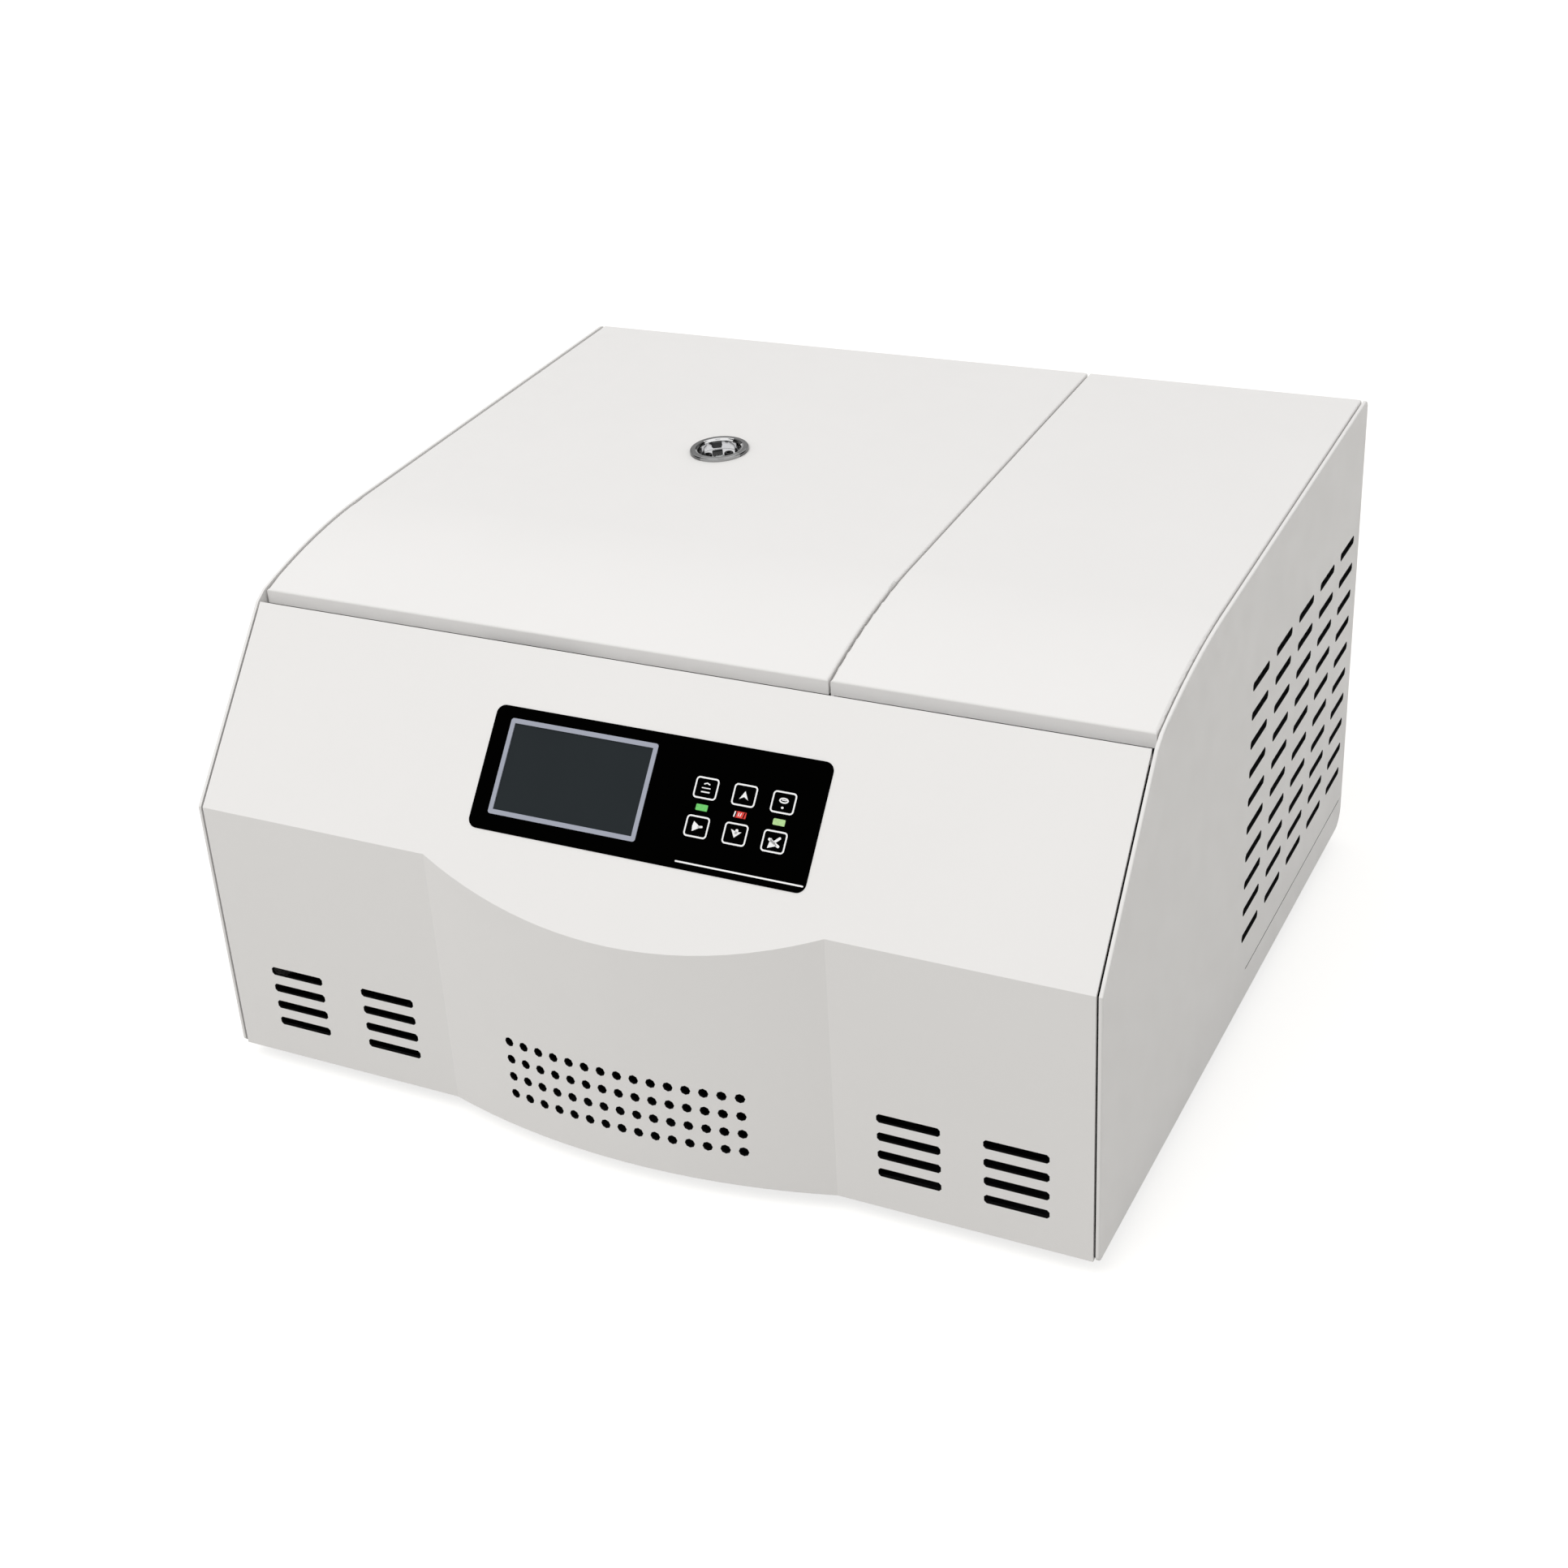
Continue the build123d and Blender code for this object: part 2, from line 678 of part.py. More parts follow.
with BuildPart() as hinge_leaves:
    leaf_front = hinge_y - leaf_length
    for hinge_x in hinge_places:
        with BuildSketch(Plane.YZ.offset(hinge_x - knuckle_length / 2)):
            with Locations((hinge_y, hinge_z)):
                Circle(knuckle_radius)
            with BuildLine():
                Polyline(
                    (hinge_y, hinge_z + knuckle_radius - sheet),
                    (hinge_y, top_z(hinge_y, sheet)),
                    (leaf_front, top_z(leaf_front, sheet)),
                    (leaf_front, top_z(leaf_front, 2 * sheet)),
                    (liner_y1, top_z(liner_y1, 2 * sheet)),
                    (hinge_y - knuckle_radius + leaf_inset, hinge_z),
                    close=True,
                )
            make_face()
            with Locations((hinge_y, hinge_z)):
                Circle(hinge_rod_radius + slip, mode=Mode.SUBTRACT)
        extrude(amount=knuckle_length)

hinge_leaves.part.label = "hinge_leaves"
export_step(hinge_leaves.part, "parts/hinge_leaves.step")

# ---------------------------------------------------------------- deck round the chamber
lock_x = chamber_x
lock_y = y_console + lock_setback
slot_side = 3.0
slot_width = striker_width + 2 * slot_side
slot_depth = striker_thickness + slot_ahead + slot_behind
slot_middle = lock_y + (slot_behind - slot_ahead) / 2
bezel_margin = 16.0  # from the slot to the edges of the deck's notch
bezel_lap = 4.0
bezel_lap_thickness = 1.2
notch_half = slot_width / 2 + bezel_margin
notch_back = slot_middle + slot_depth / 2 + bezel_margin
deck_gap = 0.5  # from the bowl to the edge of its hole in the deck

with BuildPart() as deck_plate:
    with BuildSketch(Plane.XY.offset(z_deck - sheet)):
        with Locations(((-x_side + cover_left) / 2, (y_console + y_rear_panel - sheet) / 2)):
            Rectangle(cover_left + x_side, y_rear_panel - sheet - y_console)
        with Locations((chamber_x, chamber_y)):
            Circle(bowl_radius + bowl_wall + deck_gap, mode=Mode.SUBTRACT)
        with Locations((lock_x, (y_console + notch_back) / 2)):
            Rectangle(2 * notch_half, notch_back - y_console, mode=Mode.SUBTRACT)
    extrude(amount=sheet)

deck_plate.part.label = "deck_plate"
export_step(deck_plate.part, "parts/deck_plate.step")

with BuildPart() as lock_bezel:
    with BuildSketch(Plane.XY.offset(z_deck - sheet)):
        with Locations((lock_x, (y_console + notch_back) / 2)):
            Rectangle(2 * notch_half, notch_back - y_console)
    extrude(amount=sheet)
    with BuildSketch(Plane.XY.offset(z_deck)):
        with Locations((lock_x, (y_console + notch_back + bezel_lap) / 2)):
            Rectangle(2 * (notch_half + bezel_lap), notch_back + bezel_lap - y_console)
    extrude(amount=bezel_lap_thickness)
    with BuildSketch(Plane.XY.offset(z_deck - sheet)):
        with Locations((lock_x, slot_middle)):
            Rectangle(slot_width, slot_depth)
    extrude(amount=sheet + bezel_lap_thickness, mode=Mode.SUBTRACT)

lock_bezel.part.label = "lock_bezel"
export_step(lock_bezel.part, "parts/lock_bezel.step")

# ---------------------------------------------------------------- rail that carries the fixed cover's front
rail_depth = 24.0
rail_rise = 6.0

with BuildPart() as cover_rail:
    with BuildSketch(Plane.YZ.offset(cover_left + sheet)):
        with BuildLine():
            Polyline(
                (y_console, z_deck - sheet),
                (y_console + rail_depth, z_deck - sheet),
                (y_console + rail_depth, z_deck + rail_rise),
                (y_console + rail_depth - sheet, z_deck + rail_rise),
                (y_console + rail_depth - sheet, z_deck),
                (y_console, z_deck),
                close=True,
            )
        make_face()
    extrude(amount=cover_right - cover_left - 2 * sheet)

cover_rail.part.label = "cover_rail"
export_step(cover_rail.part, "parts/cover_rail.step")

# ---------------------------------------------------------------- partition between chamber and cooling bay
z_floor = z_base + 2 * sheet
partition_front = y_front + partition_y
partition_back = y_rear_panel - 2 * sheet
partition_shoulder = 30.0  # below the crease
partition_neck = 45.0  # below the console's top edge
partition_foot_end = 50.0  # foot flange inside the body's front and back

with BuildPart() as partition_wall:
    with BuildSketch(Plane.YZ.offset(cover_left)):
        with Locations(((partition_front + partition_back) / 2, (z_floor + z_deck - sheet) / 2)):
            Rectangle(partition_back - partition_front, z_deck - sheet - z_floor)
        # the wall stands behind the console's slope
        with BuildLine():
            Polyline(
                (y_front, z_floor + sheet),
                (partition_front, z_crease - partition_shoulder),
                (y_console - sheet, z_console - partition_neck),
                (y_console, z_deck),
                (y_front, z_deck),
                close=True,
            )
        make_face(mode=Mode.SUBTRACT)
    extrude(amount=sheet)
    with BuildSketch(Plane.XY.offset(z_floor)):
        with Locations((cover_left - flange_depth / 2, (y_front + y_back) / 2)):
            Rectangle(flange_depth, body_depth - 2 * partition_foot_end)
    extrude(amount=sheet)

partition_wall.part.label = "partition_wall"
export_step(partition_wall.part, "parts/partition_wall.step")

# ---------------------------------------------------------------- rotor chamber
z_bowl_floor = z_deck - bowl_depth
chamber_axis = Plane(origin=(chamber_x, chamber_y, 0), x_dir=(1, 0, 0), z_dir=(0, -1, 0))
spin_axis = Axis((chamber_x, chamber_y, 0), (0, 0, 1))

inner_radius = bowl_radius - bowl_wall
inner_corner = bowl_corner - bowl_wall
pan_flat = bowl_radius - bowl_corner  # flat floor's radius
z_pan_top = z_bowl_floor + bowl_corner
z_wall_foot = z_pan_top + weld_gap
z_wall_top = z_deck + bowl_wall

with BuildPart() as chamber_bowl:
    # pressed floor pan
    with BuildSketch(chamber_axis):
        with BuildLine():
            Line((bowl_hole, z_bowl_floor), (pan_flat, z_bowl_floor))
            RadiusArc((pan_flat, z_bowl_floor), (bowl_radius, z_pan_top), -bowl_corner)
            Line((bowl_radius, z_pan_top), (inner_radius, z_pan_top))
            RadiusArc((inner_radius, z_pan_top), (pan_flat, z_bowl_floor + bowl_wall), inner_corner)
            Polyline(
                (pan_flat, z_bowl_floor + bowl_wall),
                (bowl_hole, z_bowl_floor + bowl_wall),
                (bowl_hole, z_bowl_floor),
            )
        make_face()
    revolve(axis=spin_axis)
    # rolled wall
    with BuildSketch(chamber_axis):
        with Locations((bowl_radius - bowl_wall / 2, (z_wall_foot + z_wall_top) / 2)):
            Rectangle(bowl_wall, z_wall_top - z_wall_foot)
    revolve(axis=spin_axis)
    # flange that lies on the deck
    with BuildSketch(chamber_axis):
        with Locations((bowl_radius + (bowl_flange + weld_gap) / 2, z_deck + bowl_wall / 2)):
            Rectangle(bowl_flange - weld_gap, bowl_wall)
    revolve(axis=spin_axis)

chamber_bowl.part.label = "chamber_bowl"
export_step(chamber_bowl.part, "parts/chamber_bowl.step")

with BuildPart() as chamber_gasket:
    gasket_z = z_deck + bowl_wall
    gasket_top = z_liner - fit_gap
    with BuildSketch(chamber_axis):
        with Locations((bowl_radius + bowl_flange / 2, (gasket_z + gasket_top) / 2)):
            Trapezoid(gasket_width, gasket_top - gasket_z, gasket_slant)
    revolve(axis=spin_axis)

chamber_gasket.part.label = "chamber_gasket"
export_step(chamber_gasket.part, "parts/chamber_gasket.step")

with BuildPart() as evaporator_jacket:
    with BuildSketch(chamber_axis):
        with Locations((bowl_radius + jacket_thickness / 2, z_deck - bowl_depth / 2)):
            Rectangle(jacket_thickness, bowl_depth - 2 * bowl_corner)
    revolve(axis=spin_axis)

evaporator_jacket.part.label = "evaporator_jacket"
export_step(evaporator_jacket.part, "parts/evaporator_jacket.step")

foam_collar = 12.0  # foam stays this far back from the hole in the bowl's floor
foam_hole = bowl_hole + foam_collar

with BuildPart() as chamber_insulation:
    foam_inner = bowl_radius + jacket_thickness
    z_foam_floor = z_bowl_floor - foam_floor
    with BuildSketch(chamber_axis):
        with BuildLine():
            Polyline(
                (foam_hole, z_foam_floor),
                (foam_radius, z_foam_floor),
                (foam_radius, z_deck - sheet),
                (foam_inner, z_deck - sheet),
                (foam_inner, z_bowl_floor),
                (foam_hole, z_bowl_floor),
                close=True,
            )
        make_face()
    revolve(axis=spin_axis)

chamber_insulation.part.label = "chamber_insulation"
export_step(chamber_insulation.part, "parts/chamber_insulation.step")

# ---------------------------------------------------------------- motor and its mounting
z_motor_plate = z_floor + damper_height
z_motor = z_motor_plate + motor_plate_thickness
z_motor_top = z_motor + motor_height
damper_span = motor_plate_size - 4 * damper_radius

with BuildPart() as motor_plate:
    with BuildSketch(Plane.XY.offset(z_motor_plate)):
        with Locations((chamber_x, chamber_y)):
            RectangleRounded(motor_plate_size, motor_plate_size, 2 * damper_radius)
    extrude(amount=motor_plate_thickness)

motor_plate.part.label = "motor_plate"
export_step(motor_plate.part, "parts/motor_plate.step")

shaft_in_motor = 50.4
motor_shoulder = 8.0
bore_end_gap = 1.0
shaft_bottom = z_motor_top - shaft_in_motor
z_trunnion = z_deck - trunnion_drop
hub_above = 17.1  # hub's top above the trunnion axis
stud_height = 15.4  # threaded end above the hub
hub_top = z_trunnion + hub_above
hub_bottom = hub_top - hub_height
shaft_top = hub_top + stud_height

with BuildPart() as motor:
    with BuildSketch(chamber_axis):
        with BuildLine():
            Polyline(
                (0, z_motor),
                (motor_radius, z_motor),
                (motor_radius, z_motor_top - motor_shoulder),
                (motor_radius - motor_shoulder, z_motor_top),
                (shaft_radius + slip, z_motor_top),
                (shaft_radius + slip, shaft_bottom - bore_end_gap),
                (0, shaft_bottom - bore_end_gap),
                close=True,
            )
        make_face()
    revolve(axis=spin_axis)

motor.part.label = "motor"
export_step(motor.part, "parts/motor.step")

boot_neck_step = 4.0
boot_base_step = 12.0
boot_lap = 6.0  # flange's overlap on the bowl's floor
boot_neck = shaft_radius + boot_neck_step
boot_base = shaft_radius + boot_base_step
boot_flange = bowl_hole + boot_lap
boot_lip = 4.0

with BuildPart() as shaft_boot:
    with BuildSketch(chamber_axis):
        with BuildLine():
            Polyline(
                (boot_neck, z_motor_top),
                (boot_base, z_motor_top),
                (boot_base, z_motor_top + boot_lip),
                (boot_flange, z_bowl_floor - boot_lip),
                (boot_flange, z_bowl_floor),
                (bowl_hole, z_bowl_floor),
                (bowl_hole, z_bowl_floor + bowl_wall),
                (bowl_hole - boot_wall, z_bowl_floor + bowl_wall),
                (bowl_hole - boot_wall, z_bowl_floor - boot_wall),
                (boot_neck, z_motor_top + boot_lip + boot_wall),
                close=True,
            )
        make_face()
    revolve(axis=spin_axis)

shaft_boot.part.label = "shaft_boot"
export_step(shaft_boot.part, "parts/shaft_boot.step")

# ---------------------------------------------------------------- drive shaft and swing-out rotor
collar_step = 4.0
collar_radius = shaft_radius + collar_step
collar_drop = 8.0  # full collar below the hub
collar_slope = 4.0
taper_step = 2.0
stud_step = 3.0
taper_top = shaft_radius - taper_step  # shaft's radius where it leaves the hub
stud_radius = shaft_radius - stud_step
hub_bevel = 6.0
hub_bevel_height = 4.0
cross_waist = 35.0
beam_round = 4.5

with BuildPart() as drive_shaft:
    with BuildSketch(chamber_axis):
        with BuildLine():
            Polyline(
                (0, shaft_bottom),
                (shaft_radius, shaft_bottom),
                (shaft_radius, hub_bottom - collar_drop - collar_slope),
                (collar_radius, hub_bottom - collar_drop),
                (collar_radius, hub_bottom),
                (shaft_radius, hub_bottom + collar_slope),
                (taper_top, hub_top),
                (stud_radius, hub_top),
                (stud_radius, shaft_top),
                (0, shaft_top),
                close=True,
            )
        make_face()
    revolve(axis=spin_axis)

drive_shaft.part.label = "drive_shaft"
export_step(drive_shaft.part, "parts/drive_shaft.step")

with BuildPart() as rotor_yoke:
    # two side beams hold the trunnions, and a waisted cross beam joins them to the hub
    with BuildSketch(Plane.XY.offset(z_trunnion - beam_height / 2)):
        with Locations((chamber_x, chamber_y)):
            with GridLocations(1, 2 * beam_offset, 1, 2):
                RectangleRounded(beam_length, beam_thickness, beam_round)
    extrude(amount=beam_height)
    with BuildSketch(Plane.XY.offset(z_trunnion - beam_height / 2)):
        with Locations((chamber_x, chamber_y)):
            Rectangle(cross_waist, 2 * beam_offset)
            Circle(hub_radius)
            for side in (-1, 1):
                with Locations((0, side * (beam_offset - beam_thickness))):
                    Rectangle(cross_width, 2 * beam_thickness)
    extrude(amount=beam_height)
    with BuildSketch(chamber_axis):
        with BuildLine():
            Polyline(
                (collar_radius, hub_bottom),
                (hub_radius, hub_bottom),
                (hub_radius, hub_top - hub_bevel_height),
                (hub_radius - hub_bevel, hub_top),
                (taper_top, hub_top),
                (shaft_radius, hub_bottom + collar_slope),
                close=True,
            )
        make_face()
    revolve(axis=spin_axis)
    with BuildSketch(chamber_axis):
        with BuildLine():
            Polyline(
                (0, hub_bottom),
                (collar_radius, hub_bottom),
                (shaft_radius, hub_bottom + collar_slope),
                (taper_top, hub_top),
                (0, hub_top),
                close=True,
            )
        make_face()
    revolve(axis=spin_axis, mode=Mode.SUBTRACT)
    # bores for the trunnion pins
    with BuildSketch(Plane.XZ.offset(-chamber_y - beam_offset - beam_thickness)):
        for side in (-1, 1):
            with Locations((chamber_x + side * trunnion_reach, z_trunnion)):
                Circle(trunnion_radius)
    extrude(amount=2 * (beam_offset + beam_thickness), mode=Mode.SUBTRACT)

rotor_yoke.part.label = "rotor_yoke"
export_step(rotor_yoke.part, "parts/rotor_yoke.step")

pin_start = seat_length / 2 + fit_gap
pin_end = beam_offset + beam_thickness / 2

with BuildPart() as trunnion_pins:
    for side_y in (-1, 1):
        with BuildSketch(Plane.XZ.offset(-chamber_y - side_y * pin_end)):
            for side_x in (-1, 1):
                with Locations((chamber_x + side_x * trunnion_reach, z_trunnion)):
                    Circle(trunnion_radius)
        extrude(amount=side_y * (pin_end - pin_start))

trunnion_pins.part.label = "trunnion_pins"
export_step(trunnion_pins.part, "parts/trunnion_pins.step")


carrier_corner = 3.0
pocket_corner = 1.5
finger_length = 71.0
finger_depth = 28.6


def carrier_form(centre_x):
    """Open tray for one microplate, hung by hooked bosses on its two trunnion pins."""
    rim_z = z_trunnion + carrier_above
    floor_z = z_trunnion - carrier_below
    with BuildPart() as form:
        with BuildSketch(Plane.XY.offset(floor_z)):
            with Locations((centre_x, chamber_y)):
                RectangleRounded(seat_width, seat_length, carrier_corner)
        extrude(amount=rim_z - floor_z)
        with BuildSketch(Plane.XY.offset(floor_z + carrier_floor)):
            with Locations((centre_x, chamber_y)):
                RectangleRounded(plate_width, plate_length, pocket_corner)
        extrude(amount=rim_z - floor_z, mode=Mode.SUBTRACT)
        # finger cut-outs in the long sides
        with BuildSketch(Plane.YZ.offset(centre_x - seat_width / 2)):
            with Locations((chamber_y, rim_z)):
                SlotOverall(finger_length, 2 * finger_depth)
        extrude(amount=seat_width, mode=Mode.SUBTRACT)
        # bosses with a bore that is open below, to lift the carrier off its pins
        for side in (-1, 1):
            face_y = chamber_y + side * seat_length / 2
            with BuildSketch(Plane.XZ.offset(-face_y)):
                with Locations((centre_x, z_trunnion)):
                    Circle(boss_radius)
                with Locations((centre_x, z_trunnion - boss_radius)):
                    Rectangle(2 * boss_radius, 2 * boss_radius)
                with Locations((centre_x, z_trunnion)):
                    Circle(trunnion_radius + slip, mode=Mode.SUBTRACT)
                with Locations((centre_x, z_trunnion - boss_radius)):
                    Rectangle(2 * (trunnion_radius + slip), 2 * boss_radius, mode=Mode.SUBTRACT)
            extrude(amount=-side * boss_thickness)
    return form.part


carrier_left_form = carrier_form(chamber_x - trunnion_reach)

with BuildPart() as carrier_left:
    add(carrier_left_form)

carrier_left.part.label = "carrier_left"
export_step(carrier_left.part, "parts/carrier_left.step")

carrier_right_form = carrier_form(chamber_x + trunnion_reach)

with BuildPart() as carrier_right:
    add(carrier_right_form)

carrier_right.part.label = "carrier_right"
export_step(carrier_right.part, "parts/carrier_right.step")

flute_radius = 4.0
flute_offset = 2.0  # flute's centre outside the nut
nut_chamfer = 1.2
nut_bore_depth = 17.6

with BuildPart() as rotor_nut:
    with BuildSketch(Plane.XY.offset(hub_top)):
        with Locations((chamber_x, chamber_y)):
            Circle(nut_radius)
            with PolarLocations(nut_radius + flute_offset, nut_flutes):
                Circle(flute_radius, mode=Mode.SUBTRACT)
    extrude(amount=nut_height)
    with BuildSketch(Plane.XY.offset(hub_top)):
        with Locations((chamber_x, chamber_y)):
            Circle(stud_radius + slip)
    extrude(amount=nut_bore_depth, mode=Mode.SUBTRACT)
    chamfer(rotor_nut.faces().sort_by(Axis.Z)[-1].edges(), length=nut_chamfer)

rotor_nut.part.label = "rotor_nut"
export_step(rotor_nut.part, "parts/rotor_nut.step")

# ---------------------------------------------------------------- lid striker and lock
z_striker = z_liner - striker_reach
latch_setback = 13.5  # latch's pin ahead of the striker
striker_foot_x = 10.0
striker_foot_y = 8.0
striker_corner = 3.0
latch_y = lock_y - striker_thickness / 2 - latch_setback
latch_z = z_deck - latch_axis_drop

with BuildPart() as lid_striker:
    with BuildSketch(Plane.XY.offset(z_striker)):
        with Locations((lock_x, lock_y)):
            Rectangle(striker_width, striker_thickness)
    extrude(amount=striker_reach + sheet)
    with BuildSketch(Plane.XY.offset(z_liner + sheet)):
        with Locations((lock_x, lock_y)):
            RectangleRounded(
                striker_width + 2 * striker_foot_x, striker_thickness + 2 * striker_foot_y, striker_corner
            )
    extrude(amount=sheet)
    with BuildSketch(Plane.XZ.offset(-lock_y - striker_thickness / 2)):
        with Locations((lock_x, z_striker + striker_window_low + striker_window_height / 2)):
            Rectangle(striker_window_width, striker_window_height)
    extrude(amount=striker_thickness, mode=Mode.SUBTRACT)
    fillet(lid_striker.edges().filter_by(Axis.Y).group_by(Axis.Z)[0], radius=striker_corner)

lid_striker.part.label = "lid_striker"
export_step(lid_striker.part, "parts/lid_striker.step")

lock_height = 56.0
lock_front = 28.0  # housing's front ahead of the latch's pin
lock_rear = 12.0  # housing's rear behind the striker
ear_width = 16.0
ear_depth = 48.0
lock_width = slot_width + 2 * lock_wall
lock_y0 = latch_y - lock_front
lock_y1 = lock_y + lock_rear
z_lock = z_deck - sheet - lock_height

with BuildPart() as lock_housing:
    with BuildSketch(Plane.XY.offset(z_lock)):
        with Locations((lock_x, (lock_y0 + lock_y1) / 2)):
            Rectangle(lock_width, lock_y1 - lock_y0)
    extrude(amount=lock_height)
    with BuildSketch(Plane.XY.offset(z_lock + lock_wall)):
        with Locations((lock_x, (lock_y0 + lock_y1) / 2)):
            Rectangle(lock_width - 2 * lock_wall, lock_y1 - lock_y0 - 2 * lock_wall)
    extrude(amount=lock_height, mode=Mode.SUBTRACT)
    # ears that fasten it under the deck
    for side in (-1, 1):
        with BuildSketch(Plane.XY.offset(z_deck - sheet - lock_wall)):
            with Locations((lock_x + side * (lock_width + ear_width) / 2, (lock_y0 + lock_y1) / 2)):
                Rectangle(ear_width, ear_depth)
        extrude(amount=lock_wall)
    # pin of the latch
    with BuildSketch(Plane.YZ.offset(lock_x - lock_width / 2)):
        with Locations((latch_y, latch_z)):
            Circle(latch_pin_radius)
    extrude(amount=lock_width)

lock_housing.part.label = "lock_housing"
export_step(lock_housing.part, "parts/lock_housing.step")

latch_plane = Plane(
    origin=(lock_x - latch_width / 2, latch_y, latch_z),
    x_dir=(0, cos(radians(latch_open)), sin(radians(latch_open))),
    z_dir=(1, 0, 0),
)

nose_height = 6.0
nose_lift = 1.0  # nose above the lower edge of the striker's window
nose_past = 1.5  # nose behind the striker
nose_heel = 4.0
nose_low = z_striker + striker_window_low + nose_lift - latch_z
nose_high = nose_low + nose_height
nose_end = latch_setback + striker_thickness + nose_past

with BuildPart() as lock_latch:
    with BuildSketch(latch_plane):
        Circle(latch_radius)
        with BuildLine():
            Polyline(
                (-latch_radius, 0),
                (-nose_heel, nose_high - nose_heel / 2),
                (-nose_heel / 2, nose_high),
                (nose_end, nose_high),
                (nose_end, nose_low),
                (nose_heel, nose_low),
                (latch_radius, 0),
                close=True,
            )
        make_face()
        Circle(latch_pin_radius + slip, mode=Mode.SUBTRACT)
    extrude(amount=latch_width)

lock_latch.part.label = "lock_latch"
export_step(lock_latch.part, "parts/lock_latch.step")

solenoid_radius = 12.0
solenoid_length = 40.0
solenoid_lift = 2.0

with BuildPart() as lock_solenoid:
    with BuildSketch(Plane.YZ.offset(lock_x + lock_width / 2)):
        with Locations(((lock_y0 + lock_y1) / 2, z_lock + solenoid_lift + solenoid_radius)):
            Circle(solenoid_radius)
    extrude(amount=solenoid_length)

lock_solenoid.part.label = "lock_solenoid"
export_step(lock_solenoid.part, "parts/lock_solenoid.step")

# ---------------------------------------------------------------- compressor
compressor_x = (cover_left + sheet + x_side) / 2
compressor_y = y_front + compressor_setback
grommet_height = 10.0
grommet_radius = 9.0
compressor_foot = 7.0  # foot plate outside the shell
foot_plate = 3.0
foot_corner = 12.0
foot_plate_size = 2 * (compressor_radius + compressor_foot)
shell_base = 12.0
shoulder_fall = 28.0
shell_top = 30.0  # flat top's radius
grommet_inset = 3.0  # from the grommets to the foot plate's edges
grommet_span = 2 * (compressor_radius + compressor_foot - grommet_radius - grommet_inset)
z_compressor = z_floor + grommet_height
compressor_axis = Plane(origin=(compressor_x, compressor_y, 0), x_dir=(1, 0, 0), z_dir=(0, -1, 0))
stub_radius = 6.0
stub_reach = 8.0
stub_end = compressor_y + compressor_radius + stub_reach
stub_offset = 25.0
stub_high = 120.0
stub_low = 78.0

with BuildPart() as compressor:
    with BuildSketch(compressor_axis):
        with BuildLine():
            Polyline(
                (shell_top, z_compressor + compressor_height),
                (0, z_compressor + compressor_height),
                (0, z_compressor),
                (compressor_radius - shell_base, z_compressor),
                (compressor_radius, z_compressor + shell_base),
                (compressor_radius, z_compressor + compressor_height - shoulder_fall),
            )
            RadiusArc(
                (compressor_radius, z_compressor + compressor_height - shoulder_fall),
                (shell_top, z_compressor + compressor_height),
                -shoulder_fall,
            )
        make_face()
    revolve(axis=Axis((compressor_x, compressor_y, 0), (0, 0, 1)))
    with BuildSketch(Plane.XY.offset(z_compressor)):
        with Locations((compressor_x, compressor_y)):
            RectangleRounded(foot_plate_size, foot_plate_size, foot_corner)
    extrude(amount=foot_plate)
    # stubs for the pipes
    for stub_x, stub_z in ((stub_offset, stub_high), (-stub_offset, stub_low)):
        with BuildSketch(Plane.XZ.offset(-compressor_y)):
            with Locations((compressor_x + stub_x, stub_z)):
                Circle(stub_radius)
        extrude(amount=compressor_y - stub_end)

compressor.part.label = "compressor"
export_step(compressor.part, "parts/compressor.step")

# rubber dampers under the motor plate and under the compressor
with BuildPart() as rubber_mounts:
    with BuildSketch(Plane.XY.offset(z_floor)):
        with Locations((chamber_x, chamber_y)):
            with GridLocations(damper_span, damper_span, 2, 2):
                Circle(damper_radius)
    extrude(amount=damper_height)
    with BuildSketch(Plane.XY.offset(z_floor)):
        with Locations((compressor_x, compressor_y)):
            with GridLocations(grommet_span, grommet_span, 2, 2):
                Circle(grommet_radius)
    extrude(amount=grommet_height)

rubber_mounts.part.label = "rubber_mounts"
export_step(rubber_mounts.part, "parts/rubber_mounts.step")

# ---------------------------------------------------------------- condenser and its fan
condenser_gap = 8.0
condenser_x1 = x_side - condenser_gap
condenser_x0 = condenser_x1 - condenser_thickness
condenser_x = (condenser_x0 + condenser_x1) / 2
condenser_y0 = louvre_mid_y - condenser_length / 2
condenser_y1 = louvre_mid_y + condenser_length / 2
fin_pitch = 11.0
fin_gap = 4.0
fin_cut = 3.0
fin_margin = 10.0
fin_margin_z = 6.0
fin_count = int((condenser_length - 2 * fin_margin) / fin_pitch)

with BuildPart() as condenser:
    with BuildSketch(Plane.YZ.offset(condenser_x0)):
        with Locations((louvre_mid_y, z_floor + condenser_height / 2)):
            Rectangle(condenser_length, condenser_height)
    extrude(amount=condenser_thickness)
    # gaps between the fins on both faces
    for face_x in (condenser_x0, condenser_x1 - fin_cut):
        with BuildSketch(Plane.YZ.offset(face_x)):
            with Locations((louvre_mid_y, z_floor + condenser_height / 2)):
                with GridLocations(fin_pitch, 1, fin_count, 1):
                    Rectangle(fin_gap, condenser_height - 2 * fin_margin_z)
        extrude(amount=fin_cut, mode=Mode.SUBTRACT)

condenser.part.label = "condenser"
export_step(condenser.part, "parts/condenser.step")

